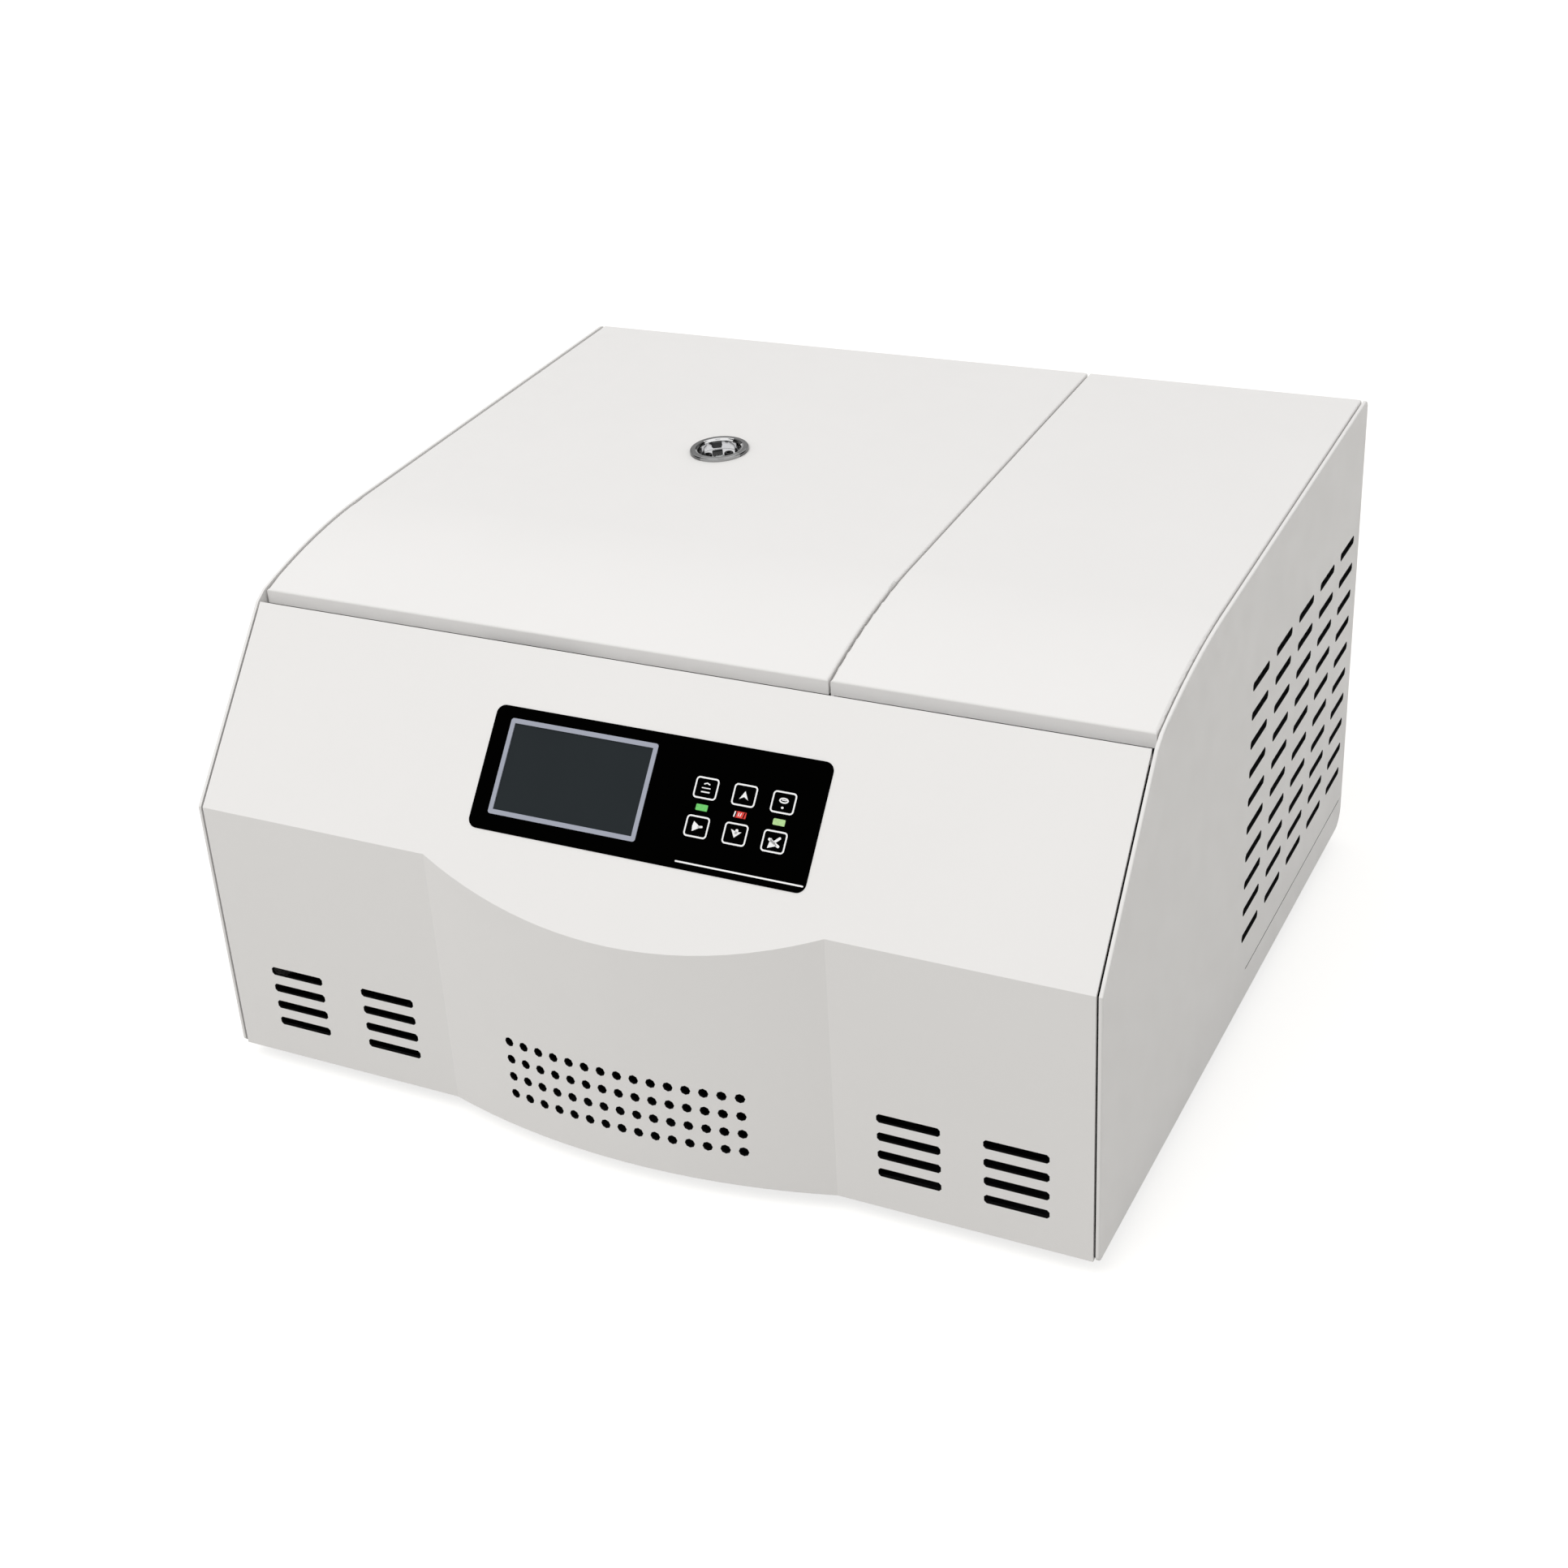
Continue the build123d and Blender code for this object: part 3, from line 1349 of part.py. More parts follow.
fan_z = z_floor + condenser_height / 2
fan_clearance = 2.5
shroud_rim = 22.0
shroud_corner = 8.0
shroud_size = 2 * (fan_radius + shroud_rim)
shroud_x0 = condenser_x0 - shroud_thickness
fan_axis = Plane(origin=(shroud_x0, louvre_mid_y, fan_z), x_dir=(0, 1, 0), z_dir=(1, 0, 0))
fan_motor_radius = 20.0
fan_motor_length = 30.0
spider_width = 9.0
spider_thickness = 3.0
spider_hub = 5.0  # hub ring round the fan motor
spider_length = 2 * (fan_radius + fan_clearance) + sheet

with BuildPart() as fan_shroud:
    with BuildSketch(fan_axis.offset(shroud_thickness - sheet)):
        RectangleRounded(shroud_size, shroud_size, shroud_corner)
        Circle(fan_radius + fan_clearance, mode=Mode.SUBTRACT)
    extrude(amount=sheet)
    with BuildSketch(fan_axis):
        Circle(fan_radius + fan_clearance + sheet)
        Circle(fan_radius + fan_clearance, mode=Mode.SUBTRACT)
    extrude(amount=shroud_thickness)
    # spider that carries the fan motor
    with BuildSketch(fan_axis):
        Rectangle(spider_length, spider_width)
        Rectangle(spider_width, spider_length)
        Circle(fan_motor_radius + spider_hub)
        Circle(fan_motor_radius, mode=Mode.SUBTRACT)
    extrude(amount=spider_thickness)

fan_shroud.part.label = "fan_shroud"
export_step(fan_shroud.part, "parts/fan_shroud.step")

fan_shaft_radius = 4.0
fan_motor_nose = 1.0  # motor's face past the spider
fan_bore_depth = 9.0
fan_motor_chamfer = 3.0

with BuildPart() as fan_motor:
    with BuildSketch(fan_axis.offset(spider_thickness + fan_motor_nose - fan_motor_length)):
        Circle(fan_motor_radius)
    extrude(amount=fan_motor_length)
    with BuildSketch(fan_axis.offset(spider_thickness + fan_motor_nose)):
        Circle(fan_shaft_radius + slip)
    extrude(amount=-fan_bore_depth, mode=Mode.SUBTRACT)
    chamfer(fan_motor.faces().sort_by(Axis.X)[0].edges(), length=fan_motor_chamfer)

fan_motor.part.label = "fan_motor"
export_step(fan_motor.part, "parts/fan_motor.step")

blade_root_width = 20.0
blade_tip_width = 38.0
blade_root_angle = 48.0
blade_tip_angle = 24.0
blade_thickness = 1.8
blade_sink = 3.0  # blade's root inside the hub
blade_tip_gap = 1.0
fan_gap = 12.0  # from the spider to the blades' middle
fan_hub_back = 9.0
fan_bore_gap = 2.0
fan_middle = spider_thickness + fan_gap
fan_hub_start = fan_middle - fan_hub_back
fan_hub_length = 17.0
fan_shaft_start = spider_thickness + fan_motor_nose - fan_bore_depth + fan_bore_gap

with BuildPart() as fan_blade:
    with BuildSketch(Plane(origin=(0, fan_hub - blade_sink, 0), x_dir=(1, 0, 0), z_dir=(0, 1, 0))):
        Rectangle(blade_root_width, blade_thickness, rotation=90 - blade_root_angle)
    with BuildSketch(Plane(origin=(0, fan_radius - blade_tip_gap, 0), x_dir=(1, 0, 0), z_dir=(0, 1, 0))):
        Rectangle(blade_tip_width, blade_thickness, rotation=90 - blade_tip_angle)
    loft(ruled=True)

with BuildPart() as fan_wheel:
    with BuildSketch(fan_axis.offset(fan_hub_start)):
        Circle(fan_hub)
    extrude(amount=fan_hub_length)
    with BuildSketch(fan_axis.offset(fan_shaft_start)):
        Circle(fan_shaft_radius)
    extrude(amount=fan_hub_start + sheet - fan_shaft_start)
    for blade in range(fan_blades):
        blade_turn = (blade * 360 / fan_blades, 0, 0)
        with Locations(Location((shroud_x0 + fan_middle, louvre_mid_y, fan_z), blade_turn)):
            add(fan_blade.part)

fan_wheel.part.label = "fan_wheel"
export_step(fan_wheel.part, "parts/fan_wheel.step")

# ---------------------------------------------------------------- filter drier and pipes
drier_inset = 50.0  # from the fixed cover's left edge
drier_x = cover_left + drier_inset
drier_gap = 30.0  # from the condenser to the drier's axis
drier_taper = 14.0
drier_neck = pipe_radius + 2.0
drier_y = condenser_y0 - drier_gap
drier_low = 72.0
drier_length = 90.0
drier_radius = 12.0
pipe_bend = 12.0
pipe_fall = 24.0  # discharge pipe below the condenser's top
pipe_high = z_floor + condenser_height - pipe_fall
pipe_low = 48.0
pipe_mid = 196.0
pipe_run = 22.0
partition_face = cover_left + sheet

with BuildPart() as filter_drier:
    drier_plane = Plane(origin=(drier_x, drier_y, 0), x_dir=(1, 0, 0), z_dir=(0, -1, 0))
    with BuildSketch(drier_plane):
        with BuildLine():
            Polyline(
                (0, drier_low),
                (drier_neck, drier_low),
                (drier_radius, drier_low + drier_taper),
                (drier_radius, drier_low + drier_length - drier_taper),
                (drier_neck, drier_low + drier_length),
                (0, drier_low + drier_length),
                close=True,
            )
        make_face()
    revolve(axis=Axis((drier_x, drier_y, 0), (0, 0, 1)))

filter_drier.part.label = "filter_drier"
export_step(filter_drier.part, "parts/filter_drier.step")

pipe_routes = (
    # discharge pipe from the compressor to the top of the condenser
    (
        (compressor_x + stub_offset, stub_end, stub_high),
        (compressor_x + stub_offset, stub_end + pipe_run, stub_high),
        (compressor_x + stub_offset, stub_end + pipe_run, pipe_high),
        (condenser_x, stub_end + pipe_run, pipe_high),
        (condenser_x, condenser_y0, pipe_high),
    ),
    # liquid line from the foot of the condenser to the drier
    (
        (condenser_x, condenser_y0, pipe_low),
        (condenser_x, drier_y, pipe_low),
        (drier_x, drier_y, pipe_low),
        (drier_x, drier_y, drier_low),
    ),
    # line from the drier through the partition to the evaporator
    (
        (drier_x, drier_y, drier_low + drier_length),
        (drier_x, drier_y, pipe_mid),
        (partition_face, drier_y, pipe_mid),
    ),
    # suction line from the partition back to the compressor
    (
        (compressor_x - stub_offset, stub_end, stub_low),
        (compressor_x - stub_offset, stub_end + pipe_run, stub_low),
        (partition_face, stub_end + pipe_run, stub_low),
    ),
)

with BuildPart() as refrigerant_pipes:
    for route in pipe_routes:
        with BuildLine() as pipe_path:
            FilletPolyline(*route, radius=pipe_bend)
        first = pipe_path.wires()[0]
        with BuildSketch(Plane(origin=first @ 0, z_dir=first % 0)):
            RegularPolygon(pipe_radius, pipe_sides)
        sweep(path=first)

refrigerant_pipes.part.label = "refrigerant_pipes"
export_step(refrigerant_pipes.part, "parts/refrigerant_pipes.step")

# ---------------------------------------------------------------- key panel, screen, keys and lamps
keypad_back = sheet + keypad_rim_thickness
keys_x = keypad_centre_x + keypad_width / 2 - keys_margin
keys_v = keypad_centre_v - keys_drop
screen_left = keypad_centre_x - keypad_width / 2 + screen_margin
screen_right = keys_x - key_pitch_x - key_width / 2 - screen_gap
screen_width = screen_right - screen_left
screen_height = keypad_height - screen_margin_low - screen_margin_high
screen_x = (screen_left + screen_right) / 2
screen_v = keypad_centre_v + (screen_margin_low - screen_margin_high) / 2
frame_proud = 0.5  # screen frame above the keypad
glass_sunk = 0.3
lamp_proud = 0.1
module_depth = 7.0
module_margin = 4.0
key_places = [
    (keys_x + column * key_pitch_x, keys_v + row * key_pitch_v / 2)
    for row in (1, -1)
    for column in (-1, 0, 1)
]
lamp_places = [(keys_x + column * key_pitch_x, keys_v) for column in (-1, 0, 1)]
panel_fit = 0.2

with BuildPart() as keypad_panel:
    with BuildSketch(console.offset(-sheet)):
        with Locations((keypad_centre_x, keypad_centre_v)):
            RectangleRounded(keypad_width - panel_fit, keypad_height - panel_fit, keypad_corner)
    extrude(amount=sheet + keypad_proud)
    with BuildSketch(console.offset(-keypad_back)):
        with Locations((keypad_centre_x, keypad_centre_v)):
            RectangleRounded(
                keypad_width + 2 * keypad_rim,
                keypad_height + 2 * keypad_rim,
                keypad_corner,
            )
    extrude(amount=keypad_rim_thickness)
    with BuildSketch(console.offset(-keypad_back)):
        with Locations((screen_x, screen_v)):
            RectangleRounded(screen_width, screen_height, screen_corner)
        with Locations(*key_places):
            RectangleRounded(key_width + 2 * key_gap, key_height + 2 * key_gap, key_corner)
        with Locations(*lamp_places):
            Rectangle(lamp_width, lamp_height)
    extrude(amount=keypad_back + keypad_proud, mode=Mode.SUBTRACT)

keypad_panel.part.label = "keypad_panel"
export_step(keypad_panel.part, "parts/keypad_panel.step")

with BuildPart() as screen_frame:
    with BuildSketch(console.offset(-keypad_back)):
        with Locations((screen_x, screen_v)):
            RectangleRounded(screen_width, screen_height, screen_corner)
            Rectangle(
                screen_width - 2 * screen_border,
                screen_height - 2 * screen_border,
                mode=Mode.SUBTRACT,
            )
    extrude(amount=keypad_back + keypad_proud + frame_proud)

screen_frame.part.label = "screen_frame"
export_step(screen_frame.part, "parts/screen_frame.step")

with BuildPart() as screen_glass:
    with BuildSketch(console.offset(-keypad_back)):
        with Locations((screen_x, screen_v)):
            Rectangle(screen_width - 2 * screen_border, screen_height - 2 * screen_border)
    extrude(amount=keypad_back + keypad_proud - glass_sunk)

screen_glass.part.label = "screen_glass"
export_step(screen_glass.part, "parts/screen_glass.step")

with BuildPart() as screen_module:
    with BuildSketch(console.offset(-keypad_back - module_depth)):
        with Locations((screen_x, screen_v)):
            Rectangle(screen_width + 2 * module_margin, screen_height + 2 * module_margin)
    extrude(amount=module_depth)

screen_module.part.label = "screen_module"
export_step(screen_module.part, "parts/screen_module.step")

with BuildPart() as status_lamps:
    with BuildSketch(console.offset(-keypad_back)):
        with Locations(*lamp_places):
            Rectangle(lamp_width, lamp_height)
    extrude(amount=keypad_back + keypad_proud + lamp_proud)

status_lamps.part.label = "status_lamps"
export_step(status_lamps.part, "parts/status_lamps.step")

key_names = ("key_menu", "key_up", "key_lid", "key_start", "key_down", "key_stop")
key_flange = 0.8
key_lap = 1.0
key_rest = 0.1  # from a key's flange to the panel behind which it rests
key_foot = keypad_back + key_rest

for key_name, key_place in zip(key_names, key_places):
    with BuildPart() as key:
        with BuildSketch(console.offset(-key_foot)):
            with Locations(key_place):
                RectangleRounded(key_width, key_height, key_corner)
        extrude(amount=key_foot + keypad_proud + key_proud)
        with BuildSketch(console.offset(-key_foot - key_flange)):
            with Locations(key_place):
                Rectangle(key_width + 2 * key_lap, key_height + 2 * key_lap)
        extrude(amount=key_flange)
    key.part.label = key_name
    export_step(key.part, f"parts/{key_name}.step")

board_clearance = 0.2  # behind a key that is fully pressed
board_gap = key_rest + key_flange + key_travel + board_clearance
board_margin = 12.0
board_margin_v = 11.0
board_width = 2 * (key_pitch_x + board_margin) + key_width
board_height = key_pitch_v + key_height + 2 * board_margin_v
post_radius = 2.5
post_inset = 4.0
chip_size = 24.0
chip_height = 6.0
socket_offset = 30.0
socket_size = (10.0, 36.0)

with BuildPart() as control_board:
    with BuildSketch(console.offset(-keypad_back - board_gap - board_thickness)):
        with Locations((keys_x, keys_v)):
            Rectangle(board_width, board_height)
    extrude(amount=board_thickness)
    with BuildSketch(console.offset(-keypad_back - board_gap)):
        with Locations((keys_x, keys_v)):
            with GridLocations(board_width - 2 * post_inset, board_height - 2 * post_inset, 2, 2):
                Circle(post_radius)
    extrude(amount=board_gap)
    # connectors and the processor on the rear of the board
    with BuildSketch(console.offset(-keypad_back - board_gap - board_thickness)):
        with Locations((keys_x, keys_v)):
            Rectangle(chip_size, chip_size)
            with GridLocations(2 * socket_offset, 1, 2, 1):
                Rectangle(*socket_size)
    extrude(amount=-chip_height)

control_board.part.label = "control_board"
export_step(control_board.part, "parts/control_board.step")

# ---------------------------------------------------------------- power electronics on the tray
drive_inset = 82.6  # drive's centre from the left side panel
drive_base = 6.0
drive_fin = 3.0
drive_margin = 2.0
drive_x = drive_inset - x_side
drive_setback = 80.0
drive_y = y_front + drive_setback
drive_size = 110.0
drive_fins = 9
drive_fin_height = 34.0

with BuildPart() as motor_drive:
    with BuildSketch(Plane.XY.offset(z_floor)):
        with Locations((drive_x, drive_y)):
            Rectangle(drive_size, drive_size)
    extrude(amount=drive_base)
    with BuildSketch(Plane.XY.offset(z_floor + drive_base)):
        with Locations((drive_x, drive_y)):
            with GridLocations((drive_size - 2 * drive_margin) / (drive_fins - 1), 1, drive_fins, 1):
                Rectangle(drive_fin, drive_size - 2 * drive_fin)
    extrude(amount=drive_fin_height)

motor_drive.part.label = "motor_drive"
export_step(motor_drive.part, "parts/motor_drive.step")

transformer_x = 30.0
transformer_setback = 76.0
transformer_y = y_front + transformer_setback
transformer_height = 44.0
winding_middle = 31.3
winding_width = 29.4
winding_round = 8.0
core_radius = 20.7
core_height = 39.6

with BuildPart() as transformer:
    with BuildSketch(Plane(origin=(transformer_x, transformer_y, 0), x_dir=(1, 0, 0), z_dir=(0, -1, 0))):
        with Locations((winding_middle, z_floor + transformer_height / 2)):
            winding = Rectangle(winding_width, transformer_height)
        chamfer(winding.vertices(), length=winding_round)
    revolve(axis=Axis((transformer_x, transformer_y, 0), (0, 0, 1)))
    with BuildSketch(Plane.XY.offset(z_floor)):
        with Locations((transformer_x, transformer_y)):
            Circle(core_radius)
    extrude(amount=core_height)

transformer.part.label = "transformer"
export_step(transformer.part, "parts/transformer.step")

# ---------------------------------------------------------------- mains inlet and switch
inlet_depth = 24.0
socket_width = 24.0
socket_height = 16.0
socket_depth = 16.0
blade_places = ((-7.0, -2.5), (7.0, -2.5), (0.0, 3.0))
blade_width = 2.2
blade_height = 4.2
blade_length = 14.0

with BuildPart() as power_inlet:
    with BuildSketch(Plane.XZ.offset(-y_rear_panel)):
        with Locations((inlet_x, inlet_z)):
            RectangleRounded(inlet_width, inlet_height, inlet_corner)
    extrude(amount=-inlet_flange)
    with BuildSketch(Plane.XZ.offset(-y_rear_panel)):
        with Locations((inlet_x, inlet_z)):
            RectangleRounded(inlet_body_width, inlet_body_height, inlet_corner - inlet_lap)
    extrude(amount=inlet_depth)
    with BuildSketch(Plane.XZ.offset(-y_rear_panel - inlet_flange)):
        with Locations((inlet_x, inlet_z)):
            Rectangle(socket_width, socket_height)
    extrude(amount=socket_depth, mode=Mode.SUBTRACT)
    with BuildSketch(Plane.XZ.offset(-y_rear_panel - inlet_flange + socket_depth)):
        for blade_x, blade_z in blade_places:
            with Locations((inlet_x + blade_x, inlet_z + blade_z)):
                Rectangle(blade_width, blade_height)
    extrude(amount=-blade_length)

power_inlet.part.label = "power_inlet"
export_step(power_inlet.part, "parts/power_inlet.step")

rocker_gap = 0.3  # each side of the rocker
rocker_swing_gap = 0.6  # round the rocker's ends
rocker_depth = 3.0  # pivot behind the rear panel's face
rocker_well = 2.0  # below the rocker
rocker_crest = 1.0  # middle of the rocker's face ahead of the flush line
rocker_cheek = 2.4
pivot_radius = 1.5
switch_flange = 1.5
switch_lap = 4.0
switch_corner = 2.0
rocker_radius = switch_height / 2 - rocker_swing_gap
rocker_length = switch_width - 2 * rocker_gap
rocker_end = rocker_radius + rocker_crest

with BuildPart() as switch_frame:
    with BuildSketch(Plane.XZ.offset(-y_rear_panel)):
        with Locations((switch_x, inlet_z)):
            RectangleRounded(switch_width + 2 * switch_lap, switch_height + 2 * switch_lap, switch_corner)
    extrude(amount=-switch_flange)
    with BuildSketch(Plane.XZ.offset(-y_rear_panel)):
        with Locations((switch_x, inlet_z)):
            Rectangle(switch_width + 2 * sheet, switch_height + 2 * sheet)
    extrude(amount=inlet_depth)
    with BuildSketch(Plane.XZ.offset(-y_rear_panel - switch_flange)):
        with Locations((switch_x, inlet_z)):
            Rectangle(switch_width, switch_height)
    extrude(amount=rocker_depth + rocker_radius + rocker_well, mode=Mode.SUBTRACT)
    with BuildSketch(Plane.YZ.offset(switch_x - switch_width / 2)):
        with Locations((y_rear_panel - rocker_depth, inlet_z)):
            Circle(pivot_radius)
    extrude(amount=switch_width)

switch_frame.part.label = "switch_frame"
export_step(switch_frame.part, "parts/switch_frame.step")

rocker_plane = Plane(
    origin=(switch_x - rocker_length / 2, y_rear_panel - rocker_depth, inlet_z),
    x_dir=(0, cos(radians(rocker_angle)), -sin(radians(rocker_angle))),
    z_dir=(1, 0, 0),
)

with BuildPart() as switch_rocker:
    with BuildSketch(rocker_plane):
        Circle(rocker_radius)
        with BuildLine():
            Polyline(
                (rocker_depth + rocker_crest, 0),
                (rocker_depth + rocker_cheek, rocker_end),
                (rocker_end, rocker_end),
                (rocker_end, -rocker_end),
                (rocker_depth + rocker_cheek, -rocker_end),
                close=True,
            )
        make_face(mode=Mode.SUBTRACT)
        Circle(pivot_radius + slip, mode=Mode.SUBTRACT)
    extrude(amount=rocker_length)

switch_rocker.part.label = "switch_rocker"
export_step(switch_rocker.part, "parts/switch_rocker.step")
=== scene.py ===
"""Looks of a refrigerated bench centrifuge for microplates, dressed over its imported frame."""

import json
import logging
import math
from collections.abc import Callable, Iterator, Sequence
from contextlib import contextmanager
from dataclasses import dataclass, field
from enum import Enum

import bmesh
import bpy
from mathutils import Matrix, Vector

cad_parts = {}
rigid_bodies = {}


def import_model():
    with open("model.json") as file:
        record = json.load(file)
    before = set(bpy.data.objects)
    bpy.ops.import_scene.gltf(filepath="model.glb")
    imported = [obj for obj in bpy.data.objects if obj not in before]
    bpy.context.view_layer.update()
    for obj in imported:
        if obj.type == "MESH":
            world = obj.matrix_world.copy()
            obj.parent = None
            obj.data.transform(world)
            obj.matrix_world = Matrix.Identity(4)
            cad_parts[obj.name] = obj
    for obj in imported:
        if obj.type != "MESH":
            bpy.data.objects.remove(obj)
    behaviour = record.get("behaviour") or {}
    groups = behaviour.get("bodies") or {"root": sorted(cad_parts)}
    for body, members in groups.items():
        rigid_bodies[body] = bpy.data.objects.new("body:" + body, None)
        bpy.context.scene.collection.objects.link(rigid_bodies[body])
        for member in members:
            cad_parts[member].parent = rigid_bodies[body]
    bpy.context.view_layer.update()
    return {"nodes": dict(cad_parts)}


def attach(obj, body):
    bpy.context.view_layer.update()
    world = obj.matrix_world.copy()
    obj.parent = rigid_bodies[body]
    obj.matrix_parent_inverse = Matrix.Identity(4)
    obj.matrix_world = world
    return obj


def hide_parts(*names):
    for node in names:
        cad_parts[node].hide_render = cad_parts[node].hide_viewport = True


LOG = logging.getLogger("centrifuge")
MM = 0.001
HOUSING = "housing"
Colour = tuple[float, float, float]
Point = tuple[float, float, float]
Span = tuple[float, float]
Outline = tuple[Span, ...]
Socket = bpy.types.NodeSocket

# The middle of the lid's round window on the sheet, and how many degrees the sheet rises there.
WINDOW_MIDDLE: Point = (-97.775 * MM, 84.25 * MM, 341.21 * MM)
WINDOW_RISE = 3.18

# Points of a turned piece nearer than this are one, and up to this many degrees between faces it shades smooth.
MERGE = 0.001 * MM
SMOOTH = 35.0

# A face or edge lies along an axis when more than this share of its way does.
ALONG = 0.9


def in_mm(*points: Span) -> Outline:
    """Gives in metres an outline that is written in millimetres.

    Args:
        *points: Radius and height of each point, in millimetres.

    Returns:
        The outline.
    """
    return tuple((radius * MM, height * MM) for radius, height in points)


# ------------------------------------------------------------------ shader graphs
def maths(tree: bpy.types.NodeTree, kind: str, first: Socket | float, second: Socket | float = 0.0) -> Socket:
    """Adds one step of arithmetic to a node tree.

    Args:
        tree: The tree.
        kind: The operation.
        first: A socket or a number.
        second: A socket or a number.

    Returns:
        The result.
    """
    node = tree.nodes.new("ShaderNodeMath")
    node.operation = kind
    for index, value in enumerate((first, second)):
        if isinstance(value, Socket):
            tree.links.new(value, node.inputs[index])
        else:
            node.inputs[index].default_value = value
    return node.outputs[0]


def shade(colour: Colour, factor: float) -> Colour:
    """Darkens or lightens a colour.

    Args:
        colour: A linear colour.
        factor: What it is multiplied by.

    Returns:
        The new colour.
    """
    return (colour[0] * factor, colour[1] * factor, colour[2] * factor)


class Graph:
    """A material's node tree, with short calls for the nodes that the finishes share."""

    def __init__(self, name: str) -> None:
        """Starts a material that holds only its shader and output.

        Args:
            name: The material's name.
        """
        self.material = bpy.data.materials.new(name)
        self.material.use_nodes = True
        self.tree = self.material.node_tree
        self.nodes = self.tree.nodes
        self.links = self.tree.links
        self.shader = self.nodes["Principled BSDF"]
        self.place = self.nodes.new("ShaderNodeTexCoord").outputs["Object"]

    def set(self, **values: object) -> "Graph":
        """Sets sockets of the shader by name, with underscores for spaces.

        Args:
            **values: Socket names and their constants.

        Returns:
            The graph itself.
        """
        for key, value in values.items():
            self.shader.inputs[key.replace("_", " ")].default_value = value
        return self

    def maths(self, kind: str, first: Socket | float, second: Socket | float = 0.0) -> Socket:
        """Adds one step of arithmetic.

        Args:
            kind: The operation.
            first: A socket or a number.
            second: A socket or a number.

        Returns:
            The result.
        """
        return maths(self.tree, kind, first, second)

    def noise(self, scale: float | Point, detail: float = 3.0, rough: float = 0.5) -> Socket:
        """Adds a noise field.

        Args:
            scale: Grains per metre, the same every way or one number for each axis.
            detail: Octaves.
            rough: How much the fine octaves count.

        Returns:
            The noise factor, 0 to 1.
        """
        stretch = self.nodes.new("ShaderNodeMapping")
        stretch.inputs["Scale"].default_value = scale if isinstance(scale, tuple) else (scale, scale, scale)
        self.links.new(self.place, stretch.inputs["Vector"])
        node = self.nodes.new("ShaderNodeTexNoise")
        node.inputs["Scale"].default_value = 1.0
        node.inputs["Detail"].default_value = detail
        node.inputs["Roughness"].default_value = rough
        self.links.new(stretch.outputs["Vector"], node.inputs["Vector"])
        return node.outputs["Fac"]

    def spread(self, source: Socket, low: float, high: float) -> Socket:
        """Maps the middle of a noise field to a range of values.

        Args:
            source: A factor from 0 to 1.
            low: The value at 0.3.
            high: The value at 0.7.

        Returns:
            The mapped value.
        """
        node = self.nodes.new("ShaderNodeMapRange")
        node.inputs["From Min"].default_value = 0.3
        node.inputs["From Max"].default_value = 0.7
        node.inputs["To Min"].default_value = low
        node.inputs["To Max"].default_value = high
        self.links.new(source, node.inputs["Value"])
        return node.outputs["Result"]

    def tint(self, source: Socket, low: Colour | Socket, high: Colour) -> Socket:
        """Colours the shader between two colours by a factor.

        Args:
            source: A factor from 0 to 1.
            low: The colour at 0, or the socket that gives it.
            high: The colour at 1.

        Returns:
            The mixed colour.
        """
        node = self.nodes.new("ShaderNodeMix")
        node.data_type = "RGBA"
        node.inputs["B"].default_value = (*high, 1.0)
        if isinstance(low, Socket):
            self.links.new(low, node.inputs["A"])
        else:
            node.inputs["A"].default_value = (*low, 1.0)
        self.links.new(source, node.inputs["Factor"])
        self.links.new(node.outputs["Result"], self.shader.inputs["Base Color"])
        return node.outputs["Result"]

    def vary(self, source: Socket, colour: Colour, shades: Span) -> Socket:
        """Colours the shader between a darker and a lighter shade of one colour.

        Args:
            source: A factor from 0 to 1.
            colour: The colour.
            shades: What it is multiplied by at 0 and at 1.

        Returns:
            The mixed colour.
        """
        return self.tint(source, shade(colour, shades[0]), shade(colour, shades[1]))

    def rough(self, source: Socket, middle: float, wander: Span) -> None:
        """Lets the shader's roughness wander about its middle.

        Args:
            source: A factor from 0 to 1.
            middle: The roughness.
            wander: What is added to it at the low and the high end.
        """
        mapped = self.spread(source, middle + wander[0], middle + wander[1])
        self.links.new(mapped, self.shader.inputs["Roughness"])

    def bump(self, source: Socket, depth: float) -> None:
        """Raises the surface by a height field.

        Args:
            source: The height, 0 to 1.
            depth: Height of 1, in metres.
        """
        node = self.nodes.new("ShaderNodeBump")
        node.inputs["Distance"].default_value = depth
        node.inputs["Strength"].default_value = 1.0
        self.links.new(source, node.inputs["Height"])
        self.links.new(node.outputs["Normal"], self.shader.inputs["Normal"])

    def axes(self, vector: Socket) -> list[Socket]:
        """Splits a vector.

        Args:
            vector: The vector.

        Returns:
            Its X, Y and Z.
        """
        node = self.nodes.new("ShaderNodeSeparateXYZ")
        self.links.new(vector, node.inputs[0])
        return [node.outputs[name] for name in "XYZ"]

    def about(self, axis: Point) -> tuple[Socket, Socket, Socket, Socket]:
        """Measures the surface from a point on an upright axis.

        Args:
            axis: The point.

        Returns:
            X, Y and Z from the point, and the distance from the axis.
        """
        x, y, z = (self.maths("SUBTRACT", each, at) for each, at in zip(self.axes(self.place), axis))
        squares = self.maths("ADD", self.maths("MULTIPLY", x, x), self.maths("MULTIPLY", y, y))
        return x, y, z, self.maths("SQRT", squares)


